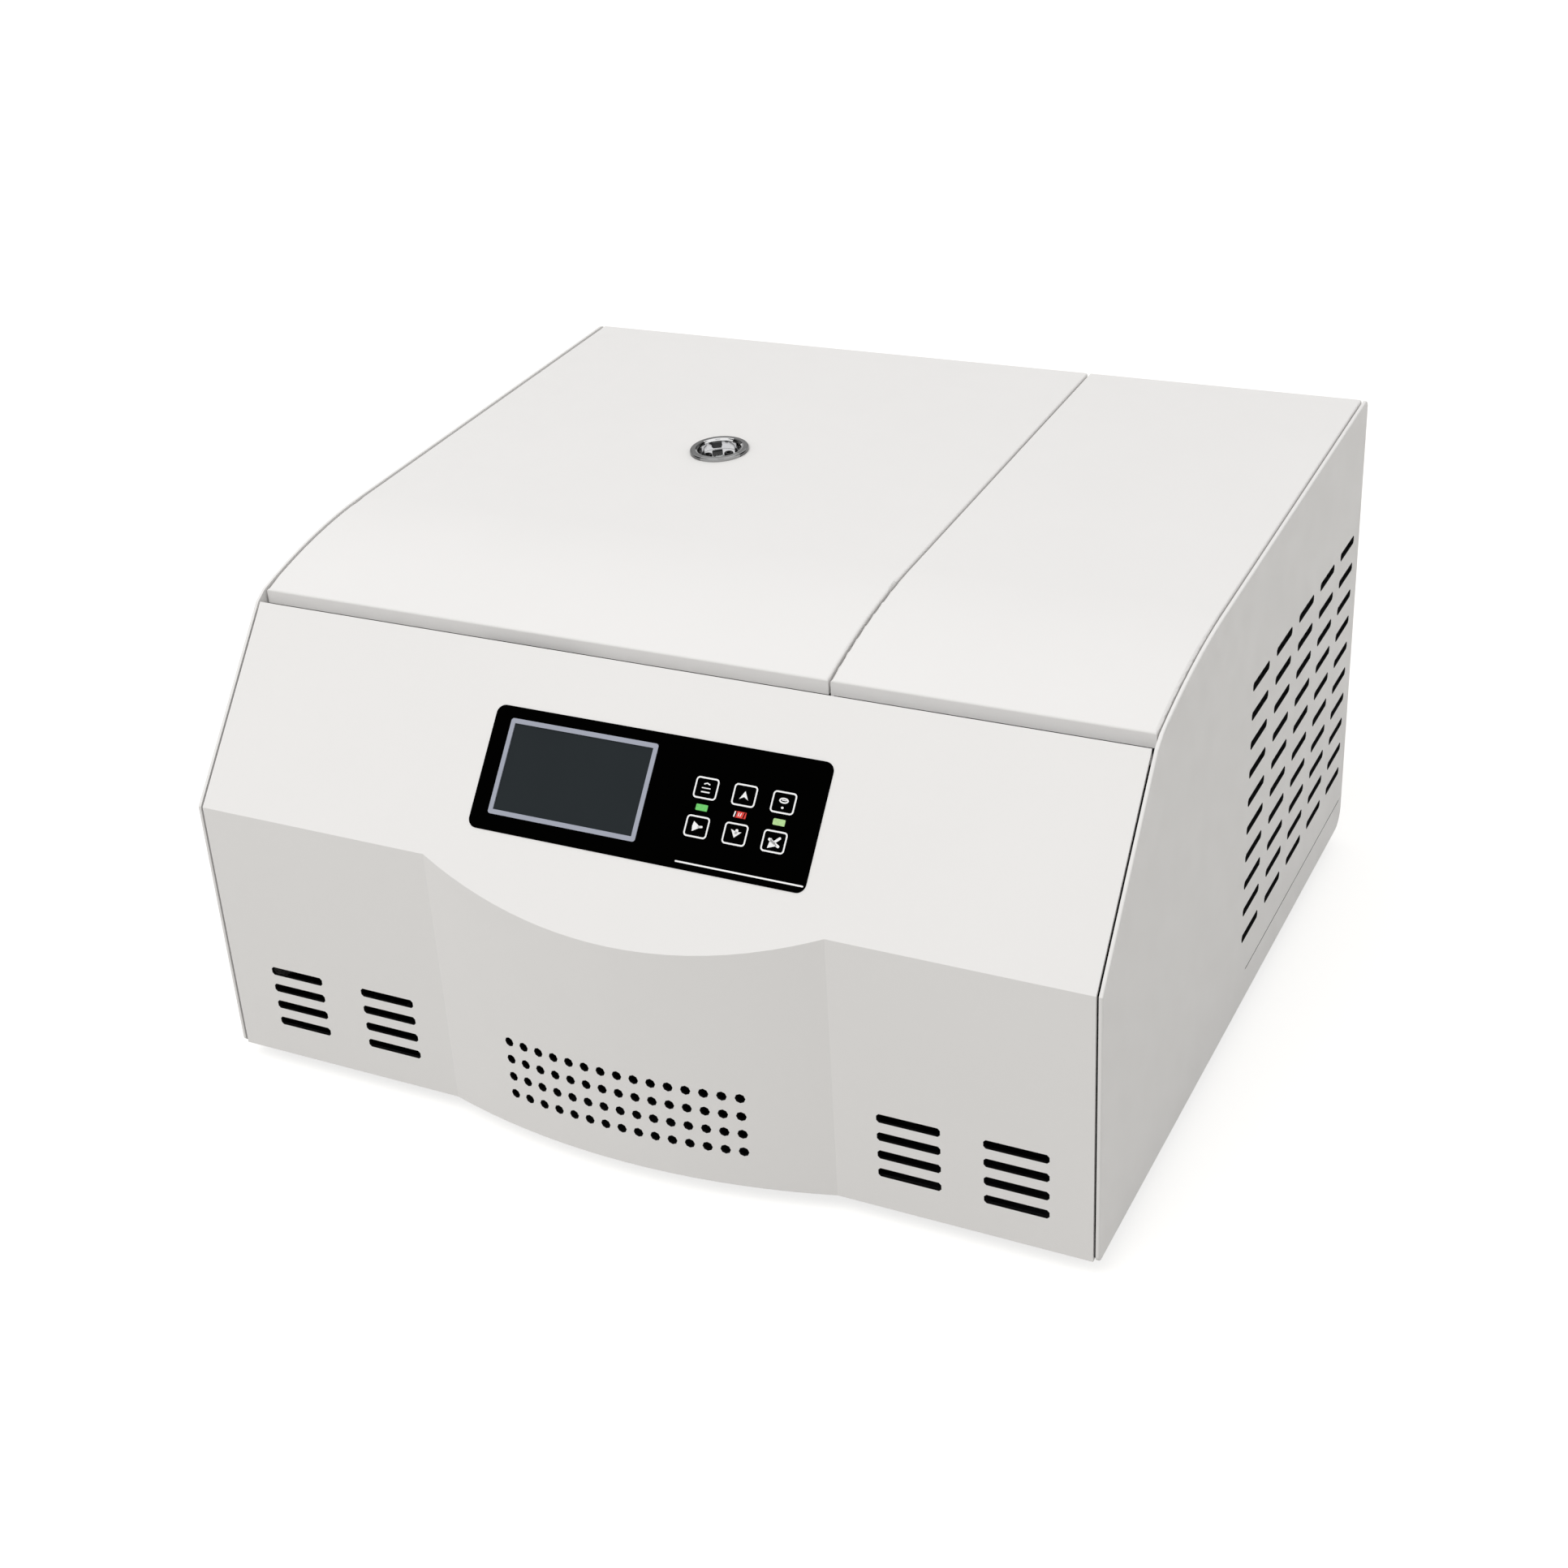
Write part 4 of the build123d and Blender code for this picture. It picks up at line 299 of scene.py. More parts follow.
# ------------------------------------------------------------------ finishes
# Patches, haze, spots and rings are counted per metre. Shades are what a colour is multiplied by, and wander is
# what is added to a roughness, at the low and the high end of a noise field.
@dataclass(frozen=True)
class PowderCoat:
    """Sprayed and baked paint with a fine orange peel."""

    name: str
    colour: Colour
    roughness: float = 0.42
    specular: float = 0.35
    peel: float = 1.1 * MM
    depth: float = 0.012 * MM
    patches: float = 7.0
    haze: float = 60.0
    shades: Span = (0.985, 1.012)
    wander: Span = (-0.04, 0.05)

    def coat(self) -> tuple[Graph, Socket]:
        """Sprays the paint.

        Returns:
            Its graph, and its colour for a finish that goes over it.
        """
        g = Graph(self.name).set(Specular_IOR_Level=self.specular)
        colour = g.vary(g.noise(self.patches, detail=4.0, rough=0.6), self.colour, self.shades)
        g.rough(g.noise(self.haze), self.roughness, self.wander)
        g.bump(g.noise(1 / self.peel, detail=2.0), self.depth)
        return g, colour

    def material(self) -> bpy.types.Material:
        """Builds the paint."""
        return self.coat()[0].material


@dataclass(frozen=True)
class PunchedSheetWithPaintedShade:
    """Painted sheet whose punched slot walls are coloured near black, as painted shade for the dark inside behind
    the slots.

    Attributes:
        paint: What the sheet is sprayed with.
        way: The axis that the sheet faces, 0 to 2.
        low: Lowest corner of the box round its slots.
        high: Highest corner of that box.
        edge: Colour of the painted shade on the slot walls.
        facing: A face in the box with less than this share of its normal along that axis is a slot wall, and takes
            the painted shade.
    """

    paint: PowderCoat
    way: int
    low: Point
    high: Point
    edge: Colour = (0.006, 0.006, 0.006)
    facing: float = 0.35

    def material(self) -> bpy.types.Material:
        """Builds the paint and the painted shade on the slot walls.

        Returns:
            The material.
        """
        g, paint = self.paint.coat()
        # Painted shade: faces in the box that stand across the sheet, the slot walls, are coloured near black.
        facing = g.axes(g.nodes.new("ShaderNodeNewGeometry").outputs["True Normal"])[self.way]
        slot_wall_shade = g.maths("LESS_THAN", g.maths("ABSOLUTE", facing), self.facing)
        for axis, low, high in zip(g.axes(g.place), self.low, self.high):
            slot_wall_shade = g.maths("MULTIPLY", slot_wall_shade, g.maths("GREATER_THAN", axis, low))
            slot_wall_shade = g.maths("MULTIPLY", slot_wall_shade, g.maths("LESS_THAN", axis, high))
        g.tint(slot_wall_shade, paint, self.edge)
        return g.material


@dataclass(frozen=True)
class SpunMetal:
    """Sheet metal turned on a lathe, with fine rings round an upright axis."""

    name: str
    colour: Colour
    roughness: float
    axis: Point
    rings: float = 900.0
    depth: float = 0.004 * MM
    shades: Span = (0.88, 1.08)
    wander: Span = (-0.05, 0.08)

    def material(self) -> bpy.types.Material:
        """Builds the metal and its rings.

        Returns:
            The material.
        """
        g = Graph(self.name).set(Metallic=1.0)
        _, _, height, reach = g.about(self.axis)
        grooves = g.nodes.new("ShaderNodeTexNoise")
        grooves.noise_dimensions = "1D"
        grooves.inputs["Scale"].default_value = 1.0
        grooves.inputs["Detail"].default_value = 4.0
        g.links.new(g.maths("MULTIPLY", g.maths("ADD", reach, height), self.rings), grooves.inputs["W"])
        lines = grooves.outputs["Fac"]
        g.vary(lines, self.colour, self.shades)
        g.rough(lines, self.roughness, self.wander)
        g.bump(lines, self.depth)
        return g.material


@dataclass(frozen=True)
class ChromeWithPaintedReflection:
    """Polished metal turned round an upright axis, with painted reflection in its colour: a bright cup, a flange
    and edge painted dimmer and darker, a lighter sector and dark arc marks on the lip.

    Attributes:
        cup: Colour of the cup.
        edge: Colour of the painted reflection at its darkest.
        flange: How near to the darkest painted reflection the flange comes, 0 to 1.
        rim: How near to it the flange's edge comes, which is painted reflection as well.
        axis: Where the axis meets the sheet round it.
        steps: Radii at which the flange and its edge begin.
        slope: Degrees by which the sheet climbs along Y.
        lip: Height over the sheet at which the cup's lip begins.
        bright: Middle and half width, in degrees, of the painted highlight, the arc in which the flange is
            brighter.
        painted_reflection_arcs: The same for each dark arc of painted reflection on the lip.
        painted_highlight_lift: Share of the flange's painted darkness that the painted highlight takes off.
    """

    name: str
    cup: Colour
    edge: Colour
    flange: float
    rim: float
    roughness: float
    axis: Point
    steps: Span
    slope: float
    lip: float
    bright: Span
    painted_reflection_arcs: tuple[Span, ...]
    painted_highlight_lift: float = 0.45
    haze: float = 300.0
    wander: Span = (-0.04, 0.05)

    def sector(self, g: Graph, x: Socket, y: Socket, reach: Socket, arc: Span) -> Socket:
        """Marks a sector round the axis.

        Args:
            g: The graph.
            x: Distance along X from the axis.
            y: Distance along Y from the axis.
            reach: Distance from the axis.
            arc: The sector's middle and its half width, in degrees.

        Returns:
            1 inside the sector and 0 outside.
        """
        middle, half = map(math.radians, arc)
        toward = g.maths("MULTIPLY", x, math.cos(middle))
        toward = g.maths("ADD", toward, g.maths("MULTIPLY", y, math.sin(middle)))
        return g.maths("GREATER_THAN", g.maths("DIVIDE", toward, reach), math.cos(half))

    def material(self) -> bpy.types.Material:
        """Builds the metal, and paints reflection into its colour: the step at its flange, a lighter sector and
        dark arc marks on the lip of its cup.

        Returns:
            The material.
        """
        g = Graph(self.name).set(Metallic=1.0)
        x, y, z, reach = g.about(self.axis)
        # Painted reflection: the flange and its edge are coloured darker, one sector of the flange lighter, and
        # dark arc marks go on the lip.
        flange = g.maths("MULTIPLY", g.maths("GREATER_THAN", reach, self.steps[0]), self.flange)
        rim = g.maths("MULTIPLY", g.maths("GREATER_THAN", reach, self.steps[1]), self.rim)
        level = g.maths("MAXIMUM", flange, rim)
        bright = self.sector(g, x, y, reach, self.bright)
        level = g.maths("SUBTRACT", level, g.maths("MULTIPLY", bright, self.painted_highlight_lift * self.flange))
        sheet = g.maths("MULTIPLY", y, math.tan(math.radians(self.slope)))
        on_lip = g.maths("GREATER_THAN", g.maths("SUBTRACT", z, sheet), self.lip)
        on_lip = g.maths("MULTIPLY", on_lip, g.maths("LESS_THAN", reach, self.steps[0]))
        for arc in self.painted_reflection_arcs:
            level = g.maths("MAXIMUM", level, g.maths("MULTIPLY", self.sector(g, x, y, reach, arc), on_lip))
        g.tint(level, self.cup, self.edge)
        g.rough(g.noise(self.haze, detail=4.0, rough=0.65), self.roughness, self.wander)
        return g.material


@dataclass(frozen=True)
class Metal:
    """Bare or plated metal whose grain runs along one axis."""

    name: str
    colour: Colour
    roughness: float
    grain: float | Point = (40.0, 2500.0, 2500.0)
    depth: float = 0.004 * MM
    shades: Span = (0.9, 1.06)
    wander: Span = (-0.06, 0.08)

    def material(self) -> bpy.types.Material:
        """Builds the metal.

        Returns:
            The material.
        """
        g = Graph(self.name).set(Metallic=1.0)
        lines = g.noise(self.grain, detail=4.0, rough=0.65)
        g.vary(lines, self.colour, self.shades)
        g.rough(lines, self.roughness, self.wander)
        g.bump(lines, self.depth)
        return g.material


@dataclass(frozen=True)
class Moulded:
    """Moulded plastic or rubber with a spark-eroded texture."""

    name: str
    colour: Colour
    roughness: float
    specular: float = 0.5
    grain: float = 0.6 * MM
    depth: float = 0.02 * MM
    patches: float = 25.0
    haze: float = 90.0
    shades: Span = (0.93, 1.06)
    wander: Span = (-0.05, 0.05)

    def material(self) -> bpy.types.Material:
        """Builds the moulding.

        Returns:
            The material.
        """
        g = Graph(self.name).set(Specular_IOR_Level=self.specular)
        g.vary(g.noise(self.patches), self.colour, self.shades)
        g.rough(g.noise(self.haze), self.roughness, self.wander)
        g.bump(g.noise(1 / self.grain, detail=2.0), self.depth)
        return g.material


@dataclass(frozen=True)
class Clear:
    """Clear glass."""

    name: str
    tint: Colour = (0.93, 0.97, 0.96)
    haze: float = 40.0
    wander: Span = (0.01, 0.04)

    def material(self) -> bpy.types.Material:
        """Builds the glass.

        Returns:
            The material.
        """
        g = Graph(self.name).set(Base_Color=(*self.tint, 1.0), Transmission_Weight=1.0, IOR=1.5)
        g.rough(g.noise(self.haze), 0.0, self.wander)
        return g.material


@dataclass(frozen=True)
class Lit:
    """A lamp lens that glows unevenly over its moulded ribs."""

    name: str
    colour: Colour
    strength: float
    grain: float = 900.0
    spots: float = 700.0
    haze: float = 300.0
    shades: Span = (0.55, 1.0)
    glow: Span = (0.6, 1.2)
    wander: Span = (0.3, 0.45)

    def material(self) -> bpy.types.Material:
        """Builds the glowing lens.

        Returns:
            The material.
        """
        g = Graph(self.name).set(Specular_IOR_Level=0.3, Emission_Color=(*self.colour, 1.0))
        g.vary(g.noise(self.grain, detail=2.0), self.colour, self.shades)
        g.rough(g.noise(self.haze), 0.0, self.wander)
        low, high = (self.strength * share for share in self.glow)
        glow = g.spread(g.noise(self.spots, detail=2.0), low, high)
        g.links.new(glow, g.shader.inputs["Emission Strength"])
        return g.material


# The cabinet's paint, and the finer peel that it has round punched slots.
WHITE: Colour = (0.850, 0.838, 0.824)
CUT_PEEL = MM / 0.9


class Look(Enum):
    """The finishes of the machine, one for each kind of surface."""

    PAINT = PowderCoat("white_powder_coat", WHITE)
    # The front and the right side panel carry painted shade on the walls of their slots.
    FRONT = PunchedSheetWithPaintedShade(
        PowderCoat("white_punched_front_painted_slot_shade", WHITE, peel=CUT_PEEL), 1, (-0.300, -0.292, 0.017), (0.300, -0.240, 0.110)
    )
    SIDE = PunchedSheetWithPaintedShade(
        PowderCoat("white_punched_side_painted_slot_shade", WHITE, peel=CUT_PEEL), 0, (0.300, -0.060, 0.030), (0.312, 0.281, 0.290)
    )
    TRAY_PAINT = PowderCoat("dark_powder_coat", (0.035, 0.036, 0.038))
    ZINC = Metal("zinc_plate", (0.60, 0.61, 0.62), 0.36)
    STAINLESS = Metal("brushed_stainless", (0.66, 0.66, 0.65), 0.26)
    SPUN = SpunMetal("spun_stainless", (0.62, 0.62, 0.61), 0.24, (-0.0978, 0.0842, 0.0))
    BLACK_FINS = Metal("black_coated_fins", (0.018, 0.018, 0.019), 0.5, (2500.0, 40.0, 2500.0))
    DARK_STEEL = Metal("darkened_steel", (0.085, 0.085, 0.085), 0.45, 600.0)
    GASKET = Moulded("chamber_seal", (0.055, 0.056, 0.058), 0.6, 0.35)
    BLACK_STEEL = Metal("blackened_screw", (0.020, 0.020, 0.021), 0.32, 600.0)
    # The window ring's colour carries painted reflection: a darker flange and edge, a lighter sector and dark arc
    # marks on its lip.
    RING_CHROME = ChromeWithPaintedReflection(
        "window_ring_chrome_painted_reflection",
        cup=(0.80, 0.80, 0.805),
        edge=(0.06, 0.06, 0.06),
        flange=0.55,
        rim=0.85,
        roughness=0.09,
        axis=WINDOW_MIDDLE,
        steps=(17.0 * MM, 20.1 * MM),
        slope=WINDOW_RISE,
        lip=0.3 * MM,
        bright=(299.0, 42.0),
        painted_reflection_arcs=((184.0, 25.0), (59.0, 19.0)),
    )
    CHROME = Metal("polished_chrome", (0.80, 0.80, 0.81), 0.09, 300.0, 0.0005 * MM)
    ANODISED = Metal("anodised_rotor", (0.58, 0.59, 0.61), 0.34, 600.0, 0.002 * MM)
    ALUMINIUM = Metal("plain_aluminium", (0.72, 0.73, 0.74), 0.38, (2500.0, 40.0, 2500.0))
    COPPER = Metal("copper_tube", (0.80, 0.42, 0.28), 0.28, 300.0)
    ENAMEL = PowderCoat("black_enamel", (0.012, 0.012, 0.012), 0.25)
    MOTOR = PowderCoat("motor_grey", (0.10, 0.105, 0.11), 0.45)
    RUBBER = Moulded("black_rubber", (0.022, 0.022, 0.022), 0.75, 0.3)
    FOAM = Moulded("insulating_foam", (0.78, 0.72, 0.52), 0.9, 0.2, 2.2 * MM, 0.25 * MM)
    BLACK_PLASTIC = Moulded("black_moulding", (0.015, 0.015, 0.016), 0.45)
    PANEL = Moulded("membrane_panel", (0.0006, 0.0006, 0.0005), 0.45, 0.0, 0.9 * MM, 0.004 * MM)
    KEY_FILM = Moulded("key_film", (0.0008, 0.0008, 0.0007), 0.40, 0.0, 0.9 * MM, 0.004 * MM)
    BEZEL = Moulded("screen_bezel", (0.366, 0.386, 0.456), 0.35, 0.2)
    SCREEN = Moulded("dark_screen", (0.0245, 0.0295, 0.0325), 0.3, 0.0, 4.0 * MM, 0.001 * MM)
    CIRCUIT = Moulded("circuit_board", (0.012, 0.11, 0.055), 0.35)
    INK = Moulded("white_ink", (0.93, 0.93, 0.93), 0.5, 0.2)
    GLASS = Clear("clear_glass")
    GREEN = Lit("green_lamp", (0.14, 0.54, 0.13), 0.35)
    RED = Lit("red_lamp", (0.62, 0.04, 0.03), 0.5)
    PALE_GREEN = Lit("pale_green_lamp", (0.42, 0.64, 0.28), 0.35)


class Paintbox:
    """Makes each finish's material once and puts it on pieces."""

    def __init__(self) -> None:
        """Starts with no material made."""
        self.made: dict[Look, bpy.types.Material] = {}

    def material(self, look: Look) -> bpy.types.Material:
        """Gives a finish's material.

        Args:
            look: The finish.

        Returns:
            Its material, made on first use.
        """
        if look not in self.made:
            self.made[look] = look.value.material()
        return self.made[look]

    def dress(self, piece: bpy.types.Object, look: Look) -> bpy.types.Object:
        """Gives a piece one finish all over.

        Args:
            piece: The piece.
            look: Its finish.

        Returns:
            The piece.
        """
        piece.data.materials.clear()
        piece.data.materials.append(self.material(look))
        return piece


PAINTS = Paintbox()


# ------------------------------------------------------------------ bench work
def fresh() -> None:
    """Deselects everything, before a primitive is added."""
    for other in bpy.context.view_layer.objects:
        other.select_set(False)


def only(piece: bpy.types.Object) -> None:
    """Makes a piece the active one and the only one selected.

    Args:
        piece: The piece.
    """
    fresh()
    piece.select_set(True)
    bpy.context.view_layer.objects.active = piece


def bake_place() -> None:
    """Puts the selected pieces' places, turns and sizes into their meshes."""
    bpy.ops.object.transform_apply(location=True, rotation=True, scale=True)


@contextmanager
def editing(piece: bpy.types.Object, mode: str = "FACE") -> Iterator[None]:
    """Opens a piece in edit mode with nothing selected.

    Args:
        piece: The piece.
        mode: What is selected: VERT, EDGE or FACE.
    """
    only(piece)
    bpy.ops.object.mode_set(mode="EDIT")
    bpy.ops.mesh.select_mode(type=mode)
    bpy.ops.mesh.select_all(action="DESELECT")
    yield
    bpy.ops.object.mode_set(mode="OBJECT")


def pick(piece: bpy.types.Object, kind: str, test: Callable[[Vector, Vector], bool]) -> None:
    """Selects a piece's vertices, edges or faces by their place, in edit mode.

    Args:
        piece: The piece being edited.
        kind: verts, edges or faces.
        test: Takes the middle, and the normal or direction, and says whether it is picked.
    """
    mesh = bmesh.from_edit_mesh(piece.data)
    for part in getattr(mesh, kind):
        if kind == "verts":
            middle, way = part.co, part.normal
        elif kind == "edges":
            middle = (part.verts[0].co + part.verts[1].co) / 2
            way = (part.verts[1].co - part.verts[0].co).normalized()
        else:
            middle, way = part.calc_center_median(), part.normal
        if test(middle, way):
            part.select_set(True)
    mesh.select_flush_mode()
    bmesh.update_edit_mesh(piece.data)


def settle(piece: bpy.types.Object, name: str, place: Matrix | None = None) -> bpy.types.Object:
    """Names a piece and puts its place into its mesh.

    Args:
        piece: The piece.
        name: Its name.
        place: Where it goes, if it was modelled flat at the origin.

    Returns:
        The piece.
    """
    piece.name = name
    piece.data.name = name
    only(piece)
    if place is not None:
        piece.matrix_world = place @ piece.matrix_world
    bake_place()
    return piece


def join(pieces: list[bpy.types.Object]) -> bpy.types.Object:
    """Joins pieces into the first of them.

    Args:
        pieces: The pieces; all but the first are used up.

    Returns:
        The joined piece.
    """
    fresh()
    for piece in pieces:
        piece.select_set(True)
    bpy.context.view_layer.objects.active = pieces[0]
    bpy.ops.object.join()
    return pieces[0]


def cut_with(piece: bpy.types.Object, cutter: bpy.types.Object) -> None:
    """Cuts one piece out of another and throws the cutter away.

    Args:
        piece: The piece that is cut.
        cutter: What is cut out of it.
    """
    only(piece)
    cut = piece.modifiers.new("cut", "BOOLEAN")
    cut.object = cutter
    cut.operation = "DIFFERENCE"
    cut.solver = "EXACT"
    bpy.ops.object.modifier_apply(modifier=cut.name)
    bpy.data.objects.remove(cutter)


def block(size: Point, middle: Point = (0.0, 0.0, 0.0), turn: float = 0.0) -> bpy.types.Object:
    """Makes a block.

    Args:
        size: Its size along each axis.
        middle: Its middle.
        turn: Its turn about Z, in degrees.

    Returns:
        The block.
    """
    fresh()
    bpy.ops.mesh.primitive_cube_add(size=1.0)
    piece = bpy.context.object
    piece.scale = size
    piece.location = middle
    piece.rotation_euler = (0, 0, math.radians(turn))
    bake_place()
    return piece


def rounded_plate(width: float, height: float, corner: float, segments: int = 6) -> bpy.types.Object:
    """Makes a flat plate with rounded corners, at the origin.

    Args:
        width: Its size along X.
        height: Its size along Y.
        corner: Radius of its corners.
        segments: Edges in each corner.

    Returns:
        The plate, one face.
    """
    fresh()
    bpy.ops.mesh.primitive_plane_add(size=1.0)
    piece = bpy.context.object
    piece.scale = (width, height, 1.0)
    bake_place()
    with editing(piece, "VERT"):
        bpy.ops.mesh.select_all(action="SELECT")
        bpy.ops.mesh.bevel(offset=corner, offset_type="OFFSET", segments=segments, affect="VERTICES")
    return piece


def hollow(piece: bpy.types.Object, border: float) -> None:
    """Cuts the middle out of a flat plate, and leaves its border.

    Args:
        piece: The plate, one face.
        border: How wide a border is left.
    """
    with editing(piece):
        bpy.ops.mesh.select_all(action="SELECT")
        bpy.ops.mesh.inset(thickness=border, use_even_offset=True)
        bpy.ops.mesh.delete(type="FACE")


def print_on(piece: bpy.types.Object, thickness: float) -> None:
    """Thickens a flat mark upwards.

    Args:
        piece: The flat mark.
        thickness: How far it stands up.
    """
    with editing(piece):
        bpy.ops.mesh.select_all(action="SELECT")
        bpy.ops.mesh.extrude_region_move(TRANSFORM_OT_translate={"value": (0, 0, thickness)})
        bpy.ops.mesh.select_all(action="SELECT")
        bpy.ops.mesh.normals_make_consistent(inside=False)


def turned(outline: Sequence[Span], sides: int = 32) -> bpy.types.Object:
    """Turns an outline round Z, from a corner point that is extruded and spun.

    Args:
        outline: Radius and height of each point.
        sides: Steps of the spin.

    Returns:
        The turned piece.
    """
    fresh()
    bpy.ops.mesh.primitive_plane_add(size=1.0)
    piece = bpy.context.object
    with editing(piece, "VERT"):
        pick(piece, "verts", lambda middle, way: middle.x > 0 or middle.y > 0)
        bpy.ops.mesh.delete(type="VERT")
        bpy.ops.mesh.select_all(action="SELECT")
        # The corner that is left of the plane stands at -0.5, -0.5.
        radius, height = outline[0]
        bpy.ops.transform.translate(value=(radius + 0.5, 0.5, height))
        for (r0, z0), (r1, z1) in zip(outline, outline[1:]):
            bpy.ops.mesh.extrude_vertices_move(TRANSFORM_OT_translate={"value": (r1 - r0, 0, z1 - z0)})
        bpy.ops.mesh.select_all(action="SELECT")
        bpy.ops.mesh.spin(steps=sides, angle=math.tau, center=(0, 0, 0), axis=(0, 0, 1))
        bpy.ops.mesh.select_all(action="SELECT")
        bpy.ops.mesh.remove_doubles(threshold=MERGE)
        bpy.ops.mesh.select_all(action="SELECT")
        bpy.ops.mesh.normals_make_consistent(inside=False)
    only(piece)
    bpy.ops.object.shade_smooth_by_angle(angle=math.radians(SMOOTH))
    return piece


def copies(
    piece: bpy.types.Object, name: str, places: list[Matrix], look: Look, body: str
) -> list[bpy.types.Object]:
    """Puts a copy of a finished piece, with its own mesh, at each place.

    Args:
        piece: The piece, modelled at the origin; it is used up.
        name: The copies' name, before their number.
        places: Where they go.
        look: Their finish.
        body: The body that they ride on.

    Returns:
        The copies.
    """
    made = []
    for index, place in enumerate(places):
        copy = bpy.data.objects.new(name, piece.data.copy())
        bpy.context.scene.collection.objects.link(copy)
        settle(copy, f"{name}_{index}", place)
        PAINTS.dress(copy, look)
        made.append(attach(copy, body))
    bpy.data.objects.remove(piece)
    return made


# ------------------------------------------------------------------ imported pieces
@dataclass
class Dressed:
    """A sub-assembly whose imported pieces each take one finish."""

    looks: dict[str, Look] = field(default_factory=dict)

    def dress(self, nodes: dict[str, bpy.types.Object]) -> list[bpy.types.Object]:
        """Gives each of the sub-assembly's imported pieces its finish.

        Args:
            nodes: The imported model's pieces by name.

        Returns:
            The dressed pieces.
        """
        return [PAINTS.dress(nodes[name], look) for name, look in self.looks.items()]


@dataclass
class Cabinet(Dressed):
    """The painted panels, the tray under them and what is bolted to the tray."""

    looks: dict[str, Look] = field(
        default_factory=lambda: {
            "base_tray": Look.TRAY_PAINT,
            "rubber_feet": Look.RUBBER,
            "front_panel": Look.FRONT,
            "left_side_panel": Look.PAINT,
            "right_side_panel": Look.SIDE,
            "rear_panel": Look.PAINT,
            "fixed_cover": Look.PAINT,
            "cover_rail": Look.ZINC,
            "deck_plate": Look.STAINLESS,
            "partition_wall": Look.TRAY_PAINT,
            "hinge_brackets": Look.ZINC,
            "hinge_rod": Look.CHROME,
            "lock_housing": Look.ZINC,
            "lock_latch": Look.ZINC,
            "lock_solenoid": Look.MOTOR,
            "rubber_mounts": Look.RUBBER,
            "compressor": Look.ENAMEL,
            "condenser": Look.BLACK_FINS,
            "fan_shroud": Look.BLACK_PLASTIC,
            "fan_motor": Look.MOTOR,
            "fan_wheel": Look.BLACK_PLASTIC,
            "filter_drier": Look.COPPER,
            "refrigerant_pipes": Look.COPPER,
            "control_board": Look.CIRCUIT,
            "motor_drive": Look.BLACK_FINS,
            "transformer": Look.ENAMEL,
            "power_inlet": Look.BLACK_PLASTIC,
            "switch_frame": Look.BLACK_PLASTIC,
            "switch_rocker": Look.BLACK_PLASTIC,
            "lock_bezel": Look.BLACK_PLASTIC,
        }
    )


@dataclass
class Lid(Dressed):
    """The lid, its liner and the sight window in it."""

    looks: dict[str, Look] = field(
        default_factory=lambda: {
            "lid_shell": Look.PAINT,
            "lid_liner": Look.STAINLESS,
            "window_ring": Look.RING_CHROME,
            "sight_glass": Look.GLASS,
            "hinge_leaves": Look.ZINC,
            "lid_striker": Look.ZINC,
        }
    )


@dataclass
class Chamber(Dressed):
    """The cooled bowl, its seal, the drive and the swing-out rotor."""

    looks: dict[str, Look] = field(
        default_factory=lambda: {
            "chamber_bowl": Look.SPUN,
            "chamber_gasket": Look.GASKET,
            "evaporator_jacket": Look.COPPER,
            "chamber_insulation": Look.FOAM,
            "motor_plate": Look.ZINC,
            "motor": Look.MOTOR,
            "shaft_boot": Look.RUBBER,
            "drive_shaft": Look.CHROME,
            "rotor_yoke": Look.ANODISED,
            "trunnion_pins": Look.CHROME,
            "carrier_left": Look.ANODISED,
            "carrier_right": Look.ANODISED,
            "rotor_nut": Look.ALUMINIUM,
        }
    )


# ------------------------------------------------------------------ console
class Legend(Enum):
    """The marks on the six keys."""

    MENU = "key_menu"
    UP = "key_up"
    LID = "key_lid"
    START = "key_start"
    DOWN = "key_down"
    STOP = "key_stop"


